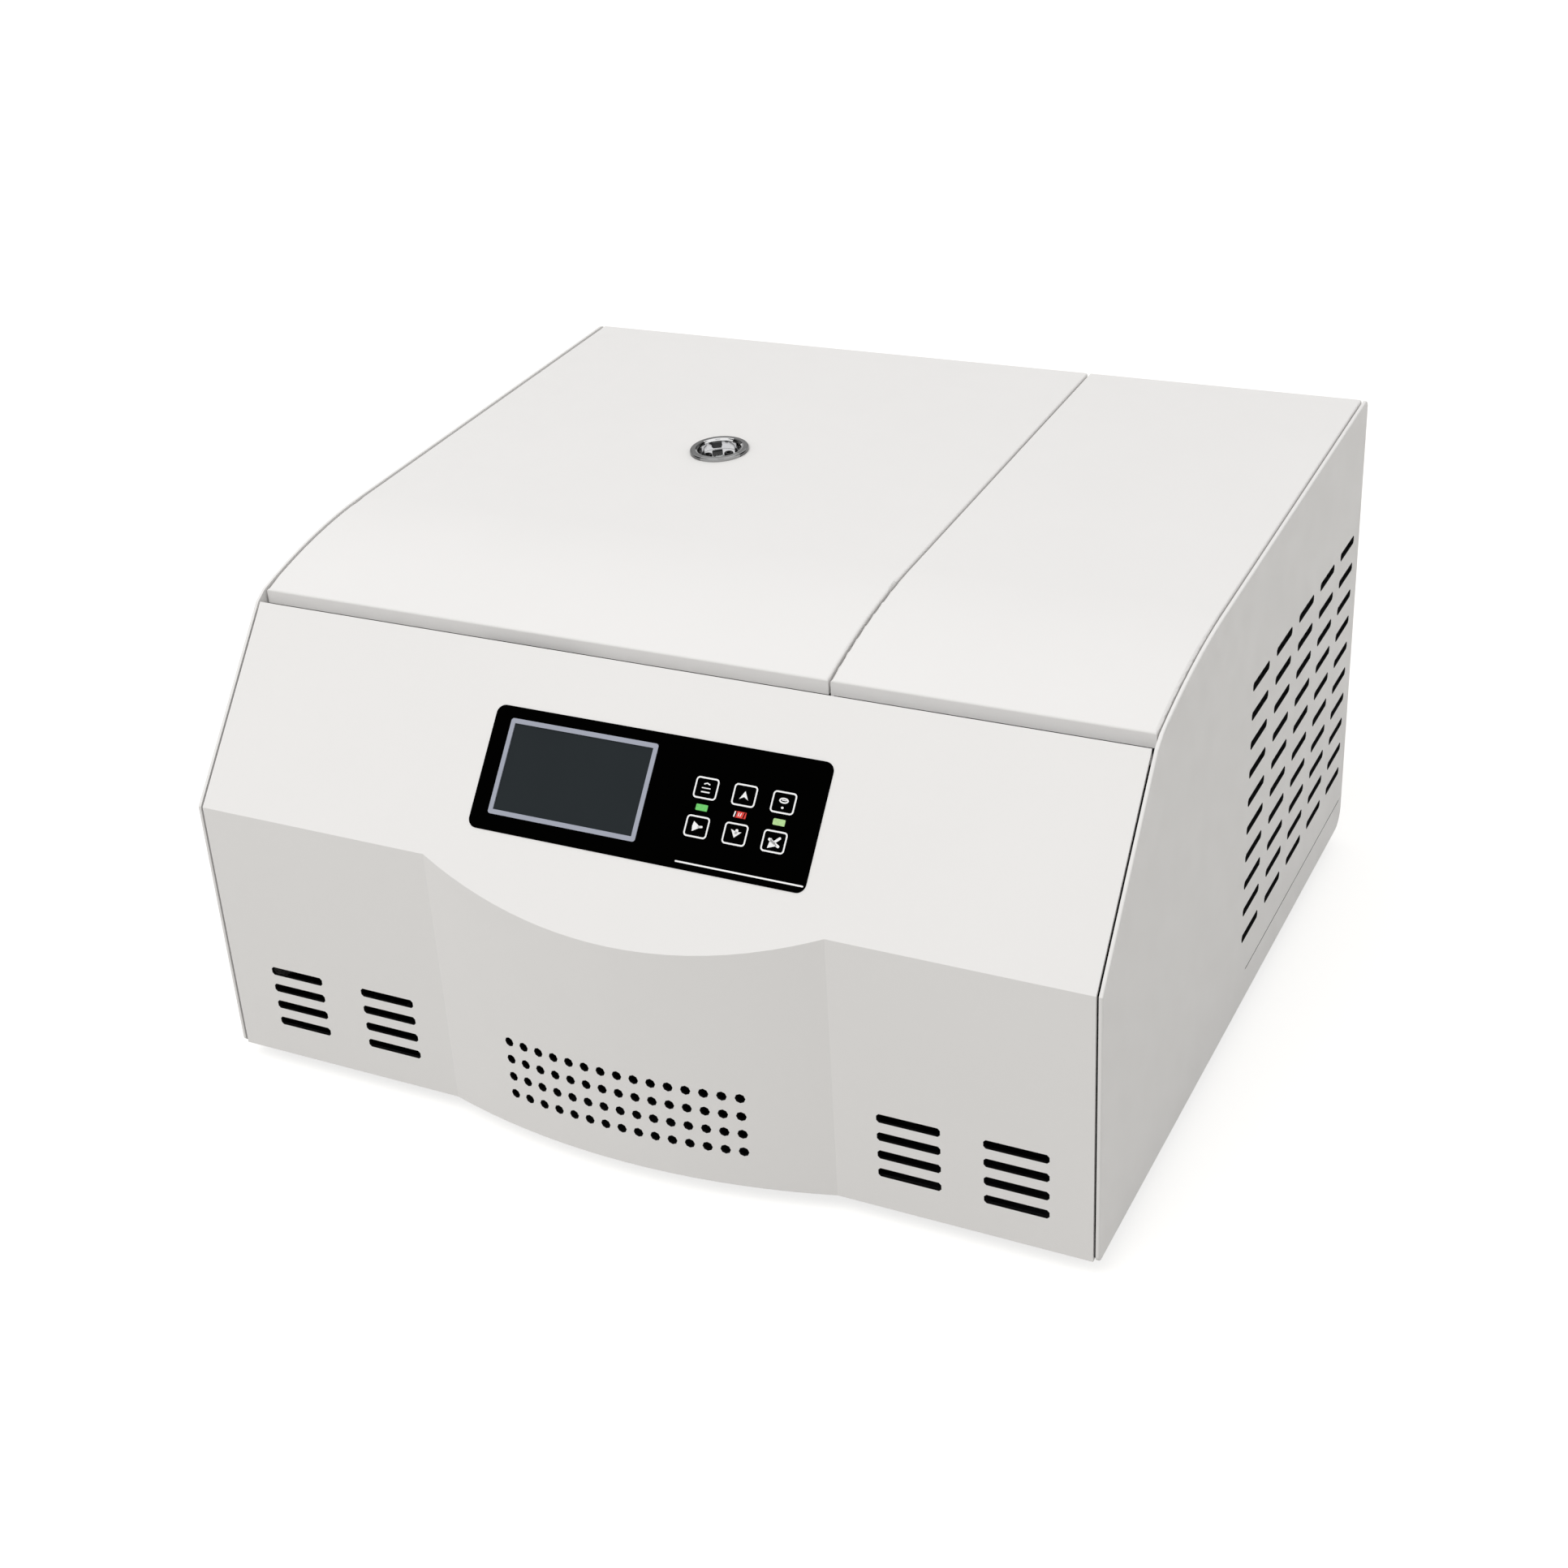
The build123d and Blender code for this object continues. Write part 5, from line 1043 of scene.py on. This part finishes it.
@dataclass
class Console(Dressed):
    """The black control panel on the sloping front, its screen, keys and lamps.

    The marks on the keys are drawn in millimetres.
    """

    looks: dict[str, Look] = field(
        default_factory=lambda: {
            "keypad_panel": Look.PANEL,
            "screen_frame": Look.BEZEL,
            "screen_glass": Look.SCREEN,
            "screen_module": Look.CIRCUIT,
            **{legend.value: Look.KEY_FILM for legend in Legend},
        }
    )
    slope: float = 50.4
    crease: Point = (0.0, -270.0 * MM, 197.0 * MM)
    panel_proud: float = 0.5 * MM
    key_proud: float = 0.8 * MM
    ink: float = 0.04 * MM
    key_width: float = 15.5 * MM
    key_height: float = 13.3 * MM
    key_corner: float = 2.4 * MM
    outline: float = 0.98 * MM
    stroke_end: float = 0.45
    columns: tuple[float, float, float] = (45.9 * MM, 71.5 * MM, 97.1 * MM)
    rows: Span = (73.35 * MM, 49.65 * MM)
    rule: tuple[float, float, float, float] = (79.5 * MM, 27.2 * MM, 84.6 * MM, 1.0 * MM)
    lamps: tuple[Look, Look, Look] = (Look.GREEN, Look.RED, Look.PALE_GREEN)
    lens: Point = (8.0 * MM, 4.0 * MM, 1.2 * MM)
    lens_corner: float = 0.8 * MM
    lens_edge: float = 0.3 * MM
    lens_sunk: float = 0.6 * MM
    lens_ink: float = 0.05 * MM

    def place(self, across: float, up: float, out: float) -> Matrix:
        """Gives the frame of a point on the console: X across, Y up the slope, Z out of it.

        Args:
            across: Distance to the right of the middle.
            up: Distance up the slope from the crease.
            out: Height over the sloping sheet.

        Returns:
            The frame.
        """
        tilt = Matrix.Rotation(math.radians(self.slope), 4, "X")
        return Matrix.Translation(self.crease) @ tilt @ Matrix.Translation((across, up, out))

    def bar(self, width: float, height: float, across: float, up: float, turn: float = 0.0) -> bpy.types.Object:
        """Makes one straight stroke of a mark.

        Args:
            width: Its length along its own X.
            height: Its thickness.
            across: Its middle from the mark's middle.
            up: Its middle from the mark's middle.
            turn: Its turn in degrees.

        Returns:
            The flat stroke.
        """
        thick = height * MM
        piece = rounded_plate(width * MM, thick, thick * self.stroke_end, 3)
        place = Matrix.Translation((across * MM, up * MM, 0))
        piece.matrix_world = place @ Matrix.Rotation(math.radians(turn), 4, "Z")
        bake_place()
        return piece

    def disc(
        self, sides: int, radius: float, across: float, up: float, turn: float = 0.0, squash: float = 1.0
    ) -> bpy.types.Object:
        """Makes a filled polygon of a mark.

        Args:
            sides: How many sides it has.
            radius: To its corners.
            across: Its middle from the mark's middle.
            up: Its middle from the mark's middle.
            turn: Its turn in degrees.
            squash: Its height against its width.

        Returns:
            The flat polygon.
        """
        fresh()
        bpy.ops.mesh.primitive_circle_add(vertices=sides, radius=radius * MM, fill_type="NGON")
        piece = bpy.context.object
        squashed = Matrix.Diagonal((1.0, squash, 1.0, 1.0))
        swung = Matrix.Rotation(math.radians(turn), 4, "Z")
        piece.matrix_world = Matrix.Translation((across * MM, up * MM, 0)) @ squashed @ swung
        bake_place()
        return piece

    def arrow(self, width: float, height: float, notch: float, turn: float = 0.0) -> bpy.types.Object:
        """Makes an arrowhead with a notch in its foot.

        Args:
            width: Across its foot.
            height: From its foot to its tip.
            notch: How deep the foot is notched.
            turn: Its turn in degrees; at 0 it points up the slope.

        Returns:
            The flat arrowhead.
        """
        fresh()
        bpy.ops.mesh.primitive_plane_add(size=1.0)
        piece = bpy.context.object
        # The plane is 1 by 1 until it is scaled, with its foot at -0.5.
        with editing(piece, "VERT"):
            pick(piece, "verts", lambda middle, way: middle.y > 0)
            bpy.ops.mesh.merge(type="CENTER")
        with editing(piece, "EDGE"):
            pick(piece, "edges", lambda middle, way: middle.y < -0.4)
            bpy.ops.mesh.subdivide(number_cuts=1)
        with editing(piece, "VERT"):
            pick(piece, "verts", lambda middle, way: abs(middle.x) < 0.01 and middle.y < -0.4)
            bpy.ops.transform.translate(value=(0, notch / height, 0))
        piece.scale = (width * MM, height * MM, 1.0)
        bake_place()
        piece.matrix_world = Matrix.Rotation(math.radians(turn), 4, "Z")
        bake_place()
        return piece

    def strokes(self, legend: Legend) -> list[bpy.types.Object]:
        """Makes the strokes of one key's mark.

        Args:
            legend: Which key.

        Returns:
            The flat strokes.
        """
        match legend:
            case Legend.MENU:
                roof = [self.bar(2.4, 0.75, side * 0.95, 2.75, side * -24) for side in (-1, 1)]
                return [*roof, self.bar(5.9, 0.6, 0.0, 0.0), self.bar(5.9, 0.8, 0.0, -2.4)]
            case Legend.UP:
                return [self.arrow(5.9, 5.2, 1.6)]
            case Legend.LID:
                ring = self.disc(28, 3.1, 0.0, 1.2, squash=0.56)
                hollow(ring, 0.85 * MM)
                return [ring, self.bar(3.2, 0.6, 0.2, 1.4), self.disc(16, 0.85, 0.0, -3.1, squash=0.8)]
            case Legend.START:
                return [self.arrow(6.2, 5.0, -0.5, -90), self.bar(3.4, 1.3, 2.2, 0.2, 8)]
            case Legend.DOWN:
                return [self.arrow(7.2, 4.4, 0.7, 172), self.bar(3.4, 2.0, 0.5, 1.5, 80)]
            case Legend.STOP:
                wing = self.disc(3, 3.7, -1.1, -1.5, turn=20)
                return [wing, self.bar(9.0, 1.7, 0.0, -0.7, -28), self.bar(5.6, 1.6, 1.7, 1.1, 43)]

    def build_legends(self) -> list[bpy.types.Object]:
        """Prints the outline and mark of each key.

        Returns:
            The prints, each on its key's body.
        """
        prints = []
        for index, legend in enumerate(Legend):
            outline = rounded_plate(self.key_width, self.key_height, self.key_corner)
            hollow(outline, self.outline)
            piece = join([outline, *self.strokes(legend)])
            print_on(piece, self.ink)
            spot = self.place(self.columns[index % 3], self.rows[index // 3], self.key_proud)
            settle(piece, f"{legend.value}_print", spot)
            PAINTS.dress(piece, Look.INK)
            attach(piece, f"{legend.value}_cap")
            prints.append(piece)
        return prints

    def build_rule(self) -> bpy.types.Object:
        """Prints the thin line under the keys.

        Returns:
            The line.
        """
        across, up, length, thick = self.rule
        piece = rounded_plate(length, thick, thick * self.stroke_end, 3)
        print_on(piece, self.ink)
        settle(piece, "panel_rule", self.place(across, up, self.panel_proud))
        PAINTS.dress(piece, Look.INK)
        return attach(piece, HOUSING)

    def build_lamps(self) -> list[bpy.types.Object]:
        """Makes the three lamp lenses with softened edges, and on the middle one dark strokes and white strokes of
        painted highlight.

        Returns:
            The lenses, the dark strokes and the painted highlight strokes.
        """
        lamps = []
        width, height, thick = self.lens
        row = (self.rows[0] + self.rows[1]) / 2
        for index, look in enumerate(self.lamps):
            piece = rounded_plate(width, height, self.lens_corner, 4)
            print_on(piece, thick)
            with editing(piece):
                pick(piece, "faces", lambda middle, way: way.z > ALONG)
                bpy.ops.mesh.bevel(offset=self.lens_edge, segments=2, affect="EDGES")
            settle(piece, f"lamp_lens_{index}", self.place(self.columns[index], row, -self.lens_sunk))
            PAINTS.dress(piece, look)
            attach(piece, HOUSING)
            lamps.append(piece)
        # On the middle lens, the panel-coloured strokes are dark lines, and the white ink strokes are painted
        # highlight, glints on the lens.
        bars_and_painted_glints = {
            Look.PANEL: ((3.8, 0.75, -2.7, 82), (3.8, 0.75, 2.7, 78)),
            Look.INK: ((3.5, 0.85, -3.55, 82), (2.3, 0.5, -0.9, 82), (2.3, 0.5, 0.5, 74)),
        }
        for look, strokes in bars_and_painted_glints.items():
            marks = join([self.bar(length, wide, at, 0.0, turn) for length, wide, at, turn in strokes])
            print_on(marks, self.lens_ink)
            spot = self.place(self.columns[1], row, thick - self.lens_sunk)
            settle(marks, f"lamp_bars_{look.name.lower()}", spot)
            PAINTS.dress(marks, look)
            lamps.append(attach(marks, HOUSING))
        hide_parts("status_lamps")
        return lamps

    def build(self) -> list[bpy.types.Object]:
        """Prints the panel and fits its lamps.

        Returns:
            The new pieces.
        """
        return [*self.build_legends(), self.build_rule(), *self.build_lamps()]


# ------------------------------------------------------------------ small hardware
@dataclass
class Hardware:
    """The screws that hold the panels, with their cross recesses, and the rocker's marks.

    The screw's profile, the floors and reach of its slots and their chamfer are shares of its own sizes.
    """

    head: float = 3.9 * MM
    crown: float = 2.0 * MM
    slot: float = 0.95 * MM
    profile: Outline = ((0.0, 1.0), (0.45, 0.97), (0.8, 0.78), (0.97, 0.42), (1.0, 0.0), (0.0, 0.0))
    floors: Span = (0.45, 0.42)
    slot_reach: float = 1.15
    slot_chamfer: float = 0.3
    weld: float = 0.01 * MM
    flat: float = 0.5
    rear_face: float = 284.0 * MM
    rear_columns: float = 292.5 * MM
    rear_rows: tuple[float, float, float] = (57.0 * MM, 166.5 * MM, 276.0 * MM)
    inlet: Point = (211.6 * MM, 286.5 * MM, 62.0 * MM)
    inlet_reach: float = 19.0 * MM
    inlet_scale: float = 0.62
    bezel: Point = (-97.8 * MM, -147.3 * MM, 299.7 * MM)
    bezel_reach: Span = (30.5 * MM, 27.0 * MM)
    bezel_scale: float = 0.55
    rocker: Point = (248.6 * MM, 281.0 * MM, 62.0 * MM)
    rocker_pressed: tuple[Span, Span] = ((0.0, 1.0), (3.97 * MM, -5.6 * MM))
    rocker_raised: tuple[Span, Span] = ((0.27, 0.963), (5.36 * MM, 4.3 * MM))
    ring: Span = (1.5 * MM, 0.35 * MM)
    bar: Point = (0.4 * MM, 3.0 * MM, 0.12 * MM)
    ink: float = 0.05 * MM

    def screw(self) -> bpy.types.Object:
        """Models one pan head with a cross recess, standing on Z.

        It is made in millimetres, because a cut needs room to be clean, and is then brought to scale.

        Returns:
            The screw.
        """
        r, h, slot = self.head / MM, self.crown / MM, self.slot / MM
        piece = turned([(across * r, up * h) for across, up in self.profile], 24)
        for turn, floor in zip((0, 90), self.floors):
            bar = block((slot, self.slot_reach * r, h), (0, 0, floor * h + h / 2), turn)
            with editing(bar, "EDGE"):
                pick(bar, "edges", lambda middle, way: middle.z < 0.5 * h)
                bpy.ops.mesh.bevel(offset=self.slot_chamfer * slot, segments=1, affect="EDGES")
            cut_with(piece, bar)
        with editing(piece):
            bpy.ops.mesh.select_all(action="SELECT")
            bpy.ops.mesh.remove_doubles(threshold=self.weld / MM)
            bpy.ops.mesh.dissolve_limited(angle_limit=math.radians(self.flat))
            bpy.ops.mesh.select_all(action="SELECT")
            bpy.ops.mesh.quads_convert_to_tris(quad_method="BEAUTY", ngon_method="BEAUTY")
        return settle(piece, "screw", Matrix.Scale(MM, 4))

    def build(self) -> list[bpy.types.Object]:
        """Puts the screws on the rear panel, the mains inlet and the lock's bezel, and marks the rocker.

        Returns:
            The screws and the marks.
        """
        back = Matrix.Rotation(math.radians(-90), 4, "X")
        spots = [(side * self.rear_columns, self.rear_face, row) for side in (-1, 1) for row in self.rear_rows]
        places = [Matrix.Translation(spot) @ back for spot in spots]
        rear = copies(self.screw(), "rear_panel_screw", places, Look.ZINC, HOUSING)
        x, y, z = self.inlet
        small = back @ Matrix.Scale(self.inlet_scale, 4)
        places = [Matrix.Translation((x + side * self.inlet_reach, y, z)) @ small for side in (-1, 1)]
        inlet = copies(self.screw(), "inlet_screw", places, Look.BLACK_STEEL, HOUSING)
        x, y, z = self.bezel
        over, along = self.bezel_reach
        small = Matrix.Scale(self.bezel_scale, 4)
        spots = [(x + i * over, y + j * along, z) for i in (-1, 1) for j in (-1, 1)]
        places = [Matrix.Translation(spot) @ small for spot in spots]
        bezel = copies(self.screw(), "lock_bezel_screw", places, Look.ZINC, HOUSING)
        return [*rear, *inlet, *bezel, *self.rocker_marks()]

    def rocker_face(self, lean: Span, middle: Span) -> Matrix:
        """Gives the frame of one half of the rocker, seen from behind.

        Args:
            lean: How far its own upward way runs back, and up.
            middle: Its middle, back and up from the rocker's own.

        Returns:
            The frame.
        """
        x, y, z = self.rocker
        back, up = lean
        return Matrix(
            ((-1, 0, 0, x), (0, back, up, y + middle[0]), (0, up, -back, z + middle[1]), (0, 0, 0, 1))
        )

    def rocker_marks(self) -> list[bpy.types.Object]:
        """Prints the bar and the ring on the two halves of the mains rocker.

        Returns:
            The ring and the bar.
        """
        fresh()
        radius, border = self.ring
        bpy.ops.mesh.primitive_circle_add(vertices=28, radius=radius, fill_type="NGON")
        ring = bpy.context.object
        hollow(ring, border)
        bar = rounded_plate(*self.bar, 2)
        marks = []
        for piece, name, half in (
            (ring, "rocker_ring_mark", self.rocker_pressed),
            (bar, "rocker_bar_mark", self.rocker_raised),
        ):
            print_on(piece, self.ink)
            settle(piece, name, self.rocker_face(*half))
            PAINTS.dress(piece, Look.INK)
            marks.append(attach(piece, "rocker"))
        return marks


@dataclass
class SightWindow:
    """What stands inside the lid's round window: its seat, two screws, a tab and a small lens."""

    turn: float = 28.7
    depth: float = 5.0 * MM
    seat: Outline = in_mm((4.2, 0), (4.2, -1.2), (15.0, -1.2), (15.0, 0), (4.2, 0))
    lens: Outline = in_mm((0, 1.1), (2.6, 0.9), (3.8, 0.3), (4.1, -0.3), (0, -0.3))
    screw: Outline = in_mm((0, 1.6), (1.5, 1.6), (1.6, 3.0), (2.9, 3.0), (3.3, 2.6), (3.3, 0), (0, 0))
    screws: Span = (-8.6 * MM, 6.4 * MM)
    tab: Point = (6.4 * MM, 1.4 * MM, 4.4 * MM)
    tab_edge: float = 0.35 * MM
    tab_spot: Point = (-1.5 * MM, 13.9 * MM, 3.4 * MM)

    def place(self, across: float, back: float, up: float) -> Matrix:
        """Gives the frame of a point in the window.

        Args:
            across: Distance to the right of its axis.
            back: Distance behind its axis.
            up: Height over its floor.

        Returns:
            The frame.
        """
        tilt = Matrix.Rotation(math.radians(WINDOW_RISE), 4, "X")
        turn = Matrix.Rotation(math.radians(self.turn), 4, "Z")
        return Matrix.Translation(WINDOW_MIDDLE) @ tilt @ turn @ Matrix.Translation((across, back, up - self.depth))

    def build(self) -> list[bpy.types.Object]:
        """Models the seat, the lens, the screws and the tab.

        Returns:
            The pieces, on the lid's body.
        """
        seat = turned(self.seat, 48)
        settle(seat, "window_seat", self.place(0, 0, 0))
        PAINTS.dress(seat, Look.CHROME)
        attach(seat, "lid")
        lens = turned(self.lens)
        settle(lens, "window_lens", self.place(0, 0, 0))
        PAINTS.dress(lens, Look.GLASS)
        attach(lens, "lid")
        spots = [self.place(reach, 0, 0) for reach in self.screws]
        screws = copies(turned(self.screw, 24), "window_screw", spots, Look.BLACK_STEEL, "lid")
        tab = block(self.tab)
        with editing(tab, "EDGE"):
            bpy.ops.mesh.select_all(action="SELECT")
            bpy.ops.mesh.bevel(offset=self.tab_edge, segments=2, affect="EDGES")
        settle(tab, "window_tab", self.place(*self.tab_spot))
        PAINTS.dress(tab, Look.DARK_STEEL)
        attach(tab, "lid")
        return [seat, lens, *screws, tab]


@dataclass
class Feet:
    """The rubber feet, with a ribbed tread and a sunk washer under each."""

    tread: Outline = in_mm(
        (4.2, 7.0), (4.2, 5.0), (7.5, 5.0), (7.5, 0.4), (8.0, 0), (10.6, 0), (11.0, 0.8), (12.0, 0.8), (12.4, 0),
        (15.2, 0), (16.0, 0.8), (18.7, 12.8), (19.0, 14.0), (4.2, 14.0), (4.2, 7.0),
    )
    washer: Outline = in_mm(
        (0, 5.6), (0, 3.4), (2.0, 3.2), (3.4, 3.6), (3.7, 4.4), (7.0, 4.4), (7.0, 5.0), (4.0, 5.6), (0, 5.6)
    )
    across: float = 262.0 * MM
    front: float = -218.0 * MM
    back: float = 238.0 * MM

    def build(self) -> list[bpy.types.Object]:
        """Models one foot and its washer, and stands a set under each corner.

        Returns:
            The feet and the washers.
        """
        corners = [(x, y, 0) for x in (-self.across, self.across) for y in (self.front, self.back)]
        spots = [Matrix.Translation(corner) for corner in corners]
        feet = copies(turned(self.tread, 40), "rubber_foot", spots, Look.RUBBER, HOUSING)
        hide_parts("rubber_feet")
        return feet + copies(turned(self.washer), "foot_screw", spots, Look.ZINC, HOUSING)


@dataclass
class CondenserBaffle:
    """The bent sheet that closes the gap between the condenser and the rear panel."""

    face: float = 299.8 * MM
    sheet: float = 1.0 * MM
    front: float = 250.0 * MM
    back: float = 281.8 * MM
    low: float = 36.0 * MM
    high: float = 262.0 * MM
    flange: float = 14.0 * MM
    bend: float = 0.9 * MM
    near: float = 0.1 * MM

    def build(self) -> list[bpy.types.Object]:
        """Models the wall, and bends a flange in along the rear panel.

        Returns:
            The baffle.
        """
        size = self.sheet, self.back - self.front, self.high - self.low
        piece = block(size, (self.face + self.sheet / 2, (self.back + self.front) / 2, (self.high + self.low) / 2))
        fold = self.back - self.sheet
        outside, past = self.face + self.sheet - self.near, fold + self.near
        with editing(piece):
            bpy.ops.mesh.select_all(action="SELECT")
            bpy.ops.mesh.bisect(plane_co=(0, fold, 0), plane_no=(0, 1, 0))
            bpy.ops.mesh.select_all(action="DESELECT")
            pick(piece, "faces", lambda at, way: way.x < -ALONG and at.y > fold)
            bpy.ops.mesh.extrude_region_move(TRANSFORM_OT_translate={"value": (-self.flange, 0, 0)})
        with editing(piece, "EDGE"):
            pick(piece, "edges", lambda at, way: abs(way.z) > ALONG and at.x > outside and at.y > past)
            bpy.ops.mesh.bevel(offset=self.bend, segments=5, affect="EDGES")
        settle(piece, "condenser_baffle")
        PAINTS.dress(piece, Look.TRAY_PAINT)
        return [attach(piece, HOUSING)]


# ------------------------------------------------------------------ studio
@dataclass(frozen=True)
class Card:
    """A sheet hung round the object, which only gloss and metal show."""

    name: str
    way: Point
    size: Span
    level: float


@dataclass
class Studio:
    """The floor, the lamp, the cards, the world and the camera."""

    eye: Point = (652.3 * MM, -1286.2 * MM, 910.6 * MM)
    yaw: float = -0.4808
    pitch: float = 0.4931
    roll: float = -0.0606
    lens: float = 53.53
    sensor: float = 36.0
    sight: float = 50.0
    sky: float = 0.70
    sky_tint: Colour = (1.0, 0.997, 0.996)
    floor_size: float = 24.0
    floor_colour: Colour = (0.42, 0.412, 0.390)
    floor_lift: float = 0.74
    lamp_way: Point = (-0.24, -0.50, 0.85)
    lamp_aim: Point = (0.0, 0.0, 0.15)
    lamp_far: float = 7.0
    lamp_size: float = 4.9
    lamp_power: float = 190.0
    card_far: float = 4.0
    cards: tuple[Card, ...] = (
        Card("back_card", (-0.451, 0.824, 0.341), (3.6, 2.4), 0.42),
        Card("left_card", (-0.729, -0.146, 0.667), (2.2, 3.6), 0.004),
        Card("right_card", (0.516, 0.542, 0.664), (2.2, 3.6), 0.004),
        Card("top_card", (0.164, -0.298, 0.940), (1.1, 1.1), 0.01),
    )

    def build_camera(self) -> bpy.types.Object:
        """Stands the camera at its viewpoint.

        Returns:
            The camera.
        """
        level = math.cos(self.pitch)
        look = Vector((math.sin(self.yaw) * level, math.cos(self.yaw) * level, -math.sin(self.pitch)))
        right = Vector((math.cos(self.yaw), -math.sin(self.yaw), 0.0))
        up = right.cross(look)
        turn, lift = math.cos(self.roll), math.sin(self.roll)
        across = right * turn + up * lift
        upward = up * turn - right * lift
        data = bpy.data.cameras.new("camera")
        data.lens = self.lens
        data.sensor_width = self.sensor
        data.clip_end = self.sight
        camera = bpy.data.objects.new("camera", data)
        bpy.context.scene.collection.objects.link(camera)
        camera.matrix_world = Matrix.Translation(self.eye) @ Matrix((across, upward, -look)).transposed().to_4x4()
        bpy.context.scene.camera = camera
        return camera

    def build_floor(self) -> bpy.types.Object:
        """Lays the pale floor, white to the camera but for the shadow, and clear from below.

        Returns:
            The floor.
        """
        fresh()
        bpy.ops.mesh.primitive_plane_add(size=self.floor_size)
        floor = bpy.context.object
        floor.name = "floor"
        g = Graph("floor_paper").set(Base_Color=(*self.floor_colour, 1.0), Roughness=0.9, Specular_IOR_Level=0.0)
        g.set(Emission_Color=(1.0, 1.0, 1.0, 1.0))
        path = g.nodes.new("ShaderNodeLightPath").outputs
        seen = g.maths("MAXIMUM", path["Is Camera Ray"], path["Is Glossy Ray"])
        g.links.new(g.maths("MULTIPLY", seen, self.floor_lift), g.shader.inputs["Emission Strength"])
        clear = g.nodes.new("ShaderNodeBsdfTransparent")
        side = g.nodes.new("ShaderNodeMixShader")
        g.links.new(g.nodes.new("ShaderNodeNewGeometry").outputs["Backfacing"], side.inputs[0])
        g.links.new(g.shader.outputs[0], side.inputs[1])
        g.links.new(clear.outputs[0], side.inputs[2])
        g.links.new(side.outputs[0], g.nodes["Material Output"].inputs["Surface"])
        floor.data.materials.append(g.material)
        return floor

    def build_card(self, plan: Card) -> bpy.types.Object:
        """Hangs one card.

        Args:
            plan: Its name, which way it hangs, its size and how bright it is.

        Returns:
            The card.
        """
        fresh()
        bpy.ops.mesh.primitive_plane_add(size=1.0)
        card = bpy.context.object
        card.name = plan.name
        way = Vector(plan.way).normalized()
        card.scale = (*plan.size, 1.0)
        card.rotation_euler = way.to_track_quat("Z", "Y").to_euler()
        card.location = way * self.card_far
        bpy.ops.object.transform_apply(location=False, rotation=False, scale=True)
        g = Graph(f"{plan.name}_paper").set(Base_Color=(0.0, 0.0, 0.0, 1.0), Roughness=1.0, Specular_IOR_Level=0.0)
        g.set(Emission_Color=(1.0, 1.0, 1.0, 1.0), Emission_Strength=plan.level)
        card.data.materials.append(g.material)
        card.visible_camera = False
        card.visible_diffuse = False
        card.visible_shadow = False
        card.visible_transmission = False
        return card

    def build_world(self) -> None:
        """Lights the object evenly, and shows white to the camera, metal and glass."""
        world = bpy.data.worlds.new("studio")
        bpy.context.scene.world = world
        world.use_nodes = True
        tree = world.node_tree
        base = tree.nodes["Background"]
        base.inputs["Color"].default_value = (*self.sky_tint, 1.0)
        base.inputs["Strength"].default_value = self.sky
        white = tree.nodes.new("ShaderNodeBackground")
        white.inputs["Color"].default_value = (1.0, 1.0, 1.0, 1.0)
        path = tree.nodes.new("ShaderNodeLightPath").outputs
        seen = maths(tree, "MAXIMUM", path["Is Camera Ray"], path["Is Glossy Ray"])
        seen = maths(tree, "MAXIMUM", seen, path["Is Transmission Ray"])
        mix = tree.nodes.new("ShaderNodeMixShader")
        tree.links.new(seen, mix.inputs[0])
        tree.links.new(base.outputs[0], mix.inputs[1])
        tree.links.new(white.outputs[0], mix.inputs[2])
        tree.links.new(mix.outputs[0], tree.nodes["World Output"].inputs["Surface"])

    def build_lamp(self) -> bpy.types.Object:
        """Hangs the soft main lamp over the front.

        Returns:
            The lamp.
        """
        data = bpy.data.lights.new("main_lamp", "AREA")
        data.shape = "DISK"
        data.size = self.lamp_size
        data.energy = self.lamp_power
        lamp = bpy.data.objects.new("main_lamp", data)
        bpy.context.scene.collection.objects.link(lamp)
        way = Vector(self.lamp_way).normalized()
        lamp.location = way * self.lamp_far + Vector(self.lamp_aim)
        lamp.rotation_euler = way.to_track_quat("Z", "Y").to_euler()
        lamp.visible_glossy = False
        return lamp

    def build(self) -> list[bpy.types.Object]:
        """Builds the whole studio.

        Returns:
            The camera, the floor, the lamp and the cards.
        """
        camera = self.build_camera()
        self.build_world()
        return [camera, self.build_floor(), self.build_lamp(), *map(self.build_card, self.cards)]


def main() -> None:
    """Builds the studio and dresses the machine, piece by piece."""
    logging.basicConfig(level=logging.INFO, format="%(name)s: %(message)s")
    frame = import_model()
    nodes = frame["nodes"]
    bpy.context.scene.view_settings.view_transform = "Standard"

    for thing in Studio().build():
        LOG.info("stood %s", thing.name)

    console = Console()
    for group in (Cabinet(), Lid(), Chamber(), console):
        for piece in group.dress(nodes):
            LOG.info("dressed %s", piece.name)

    for group in (console, Hardware(), SightWindow(), Feet(), CondenserBaffle()):
        for piece in group.build():
            LOG.info("made %s", piece.name)


if __name__ == "__main__":
    main()
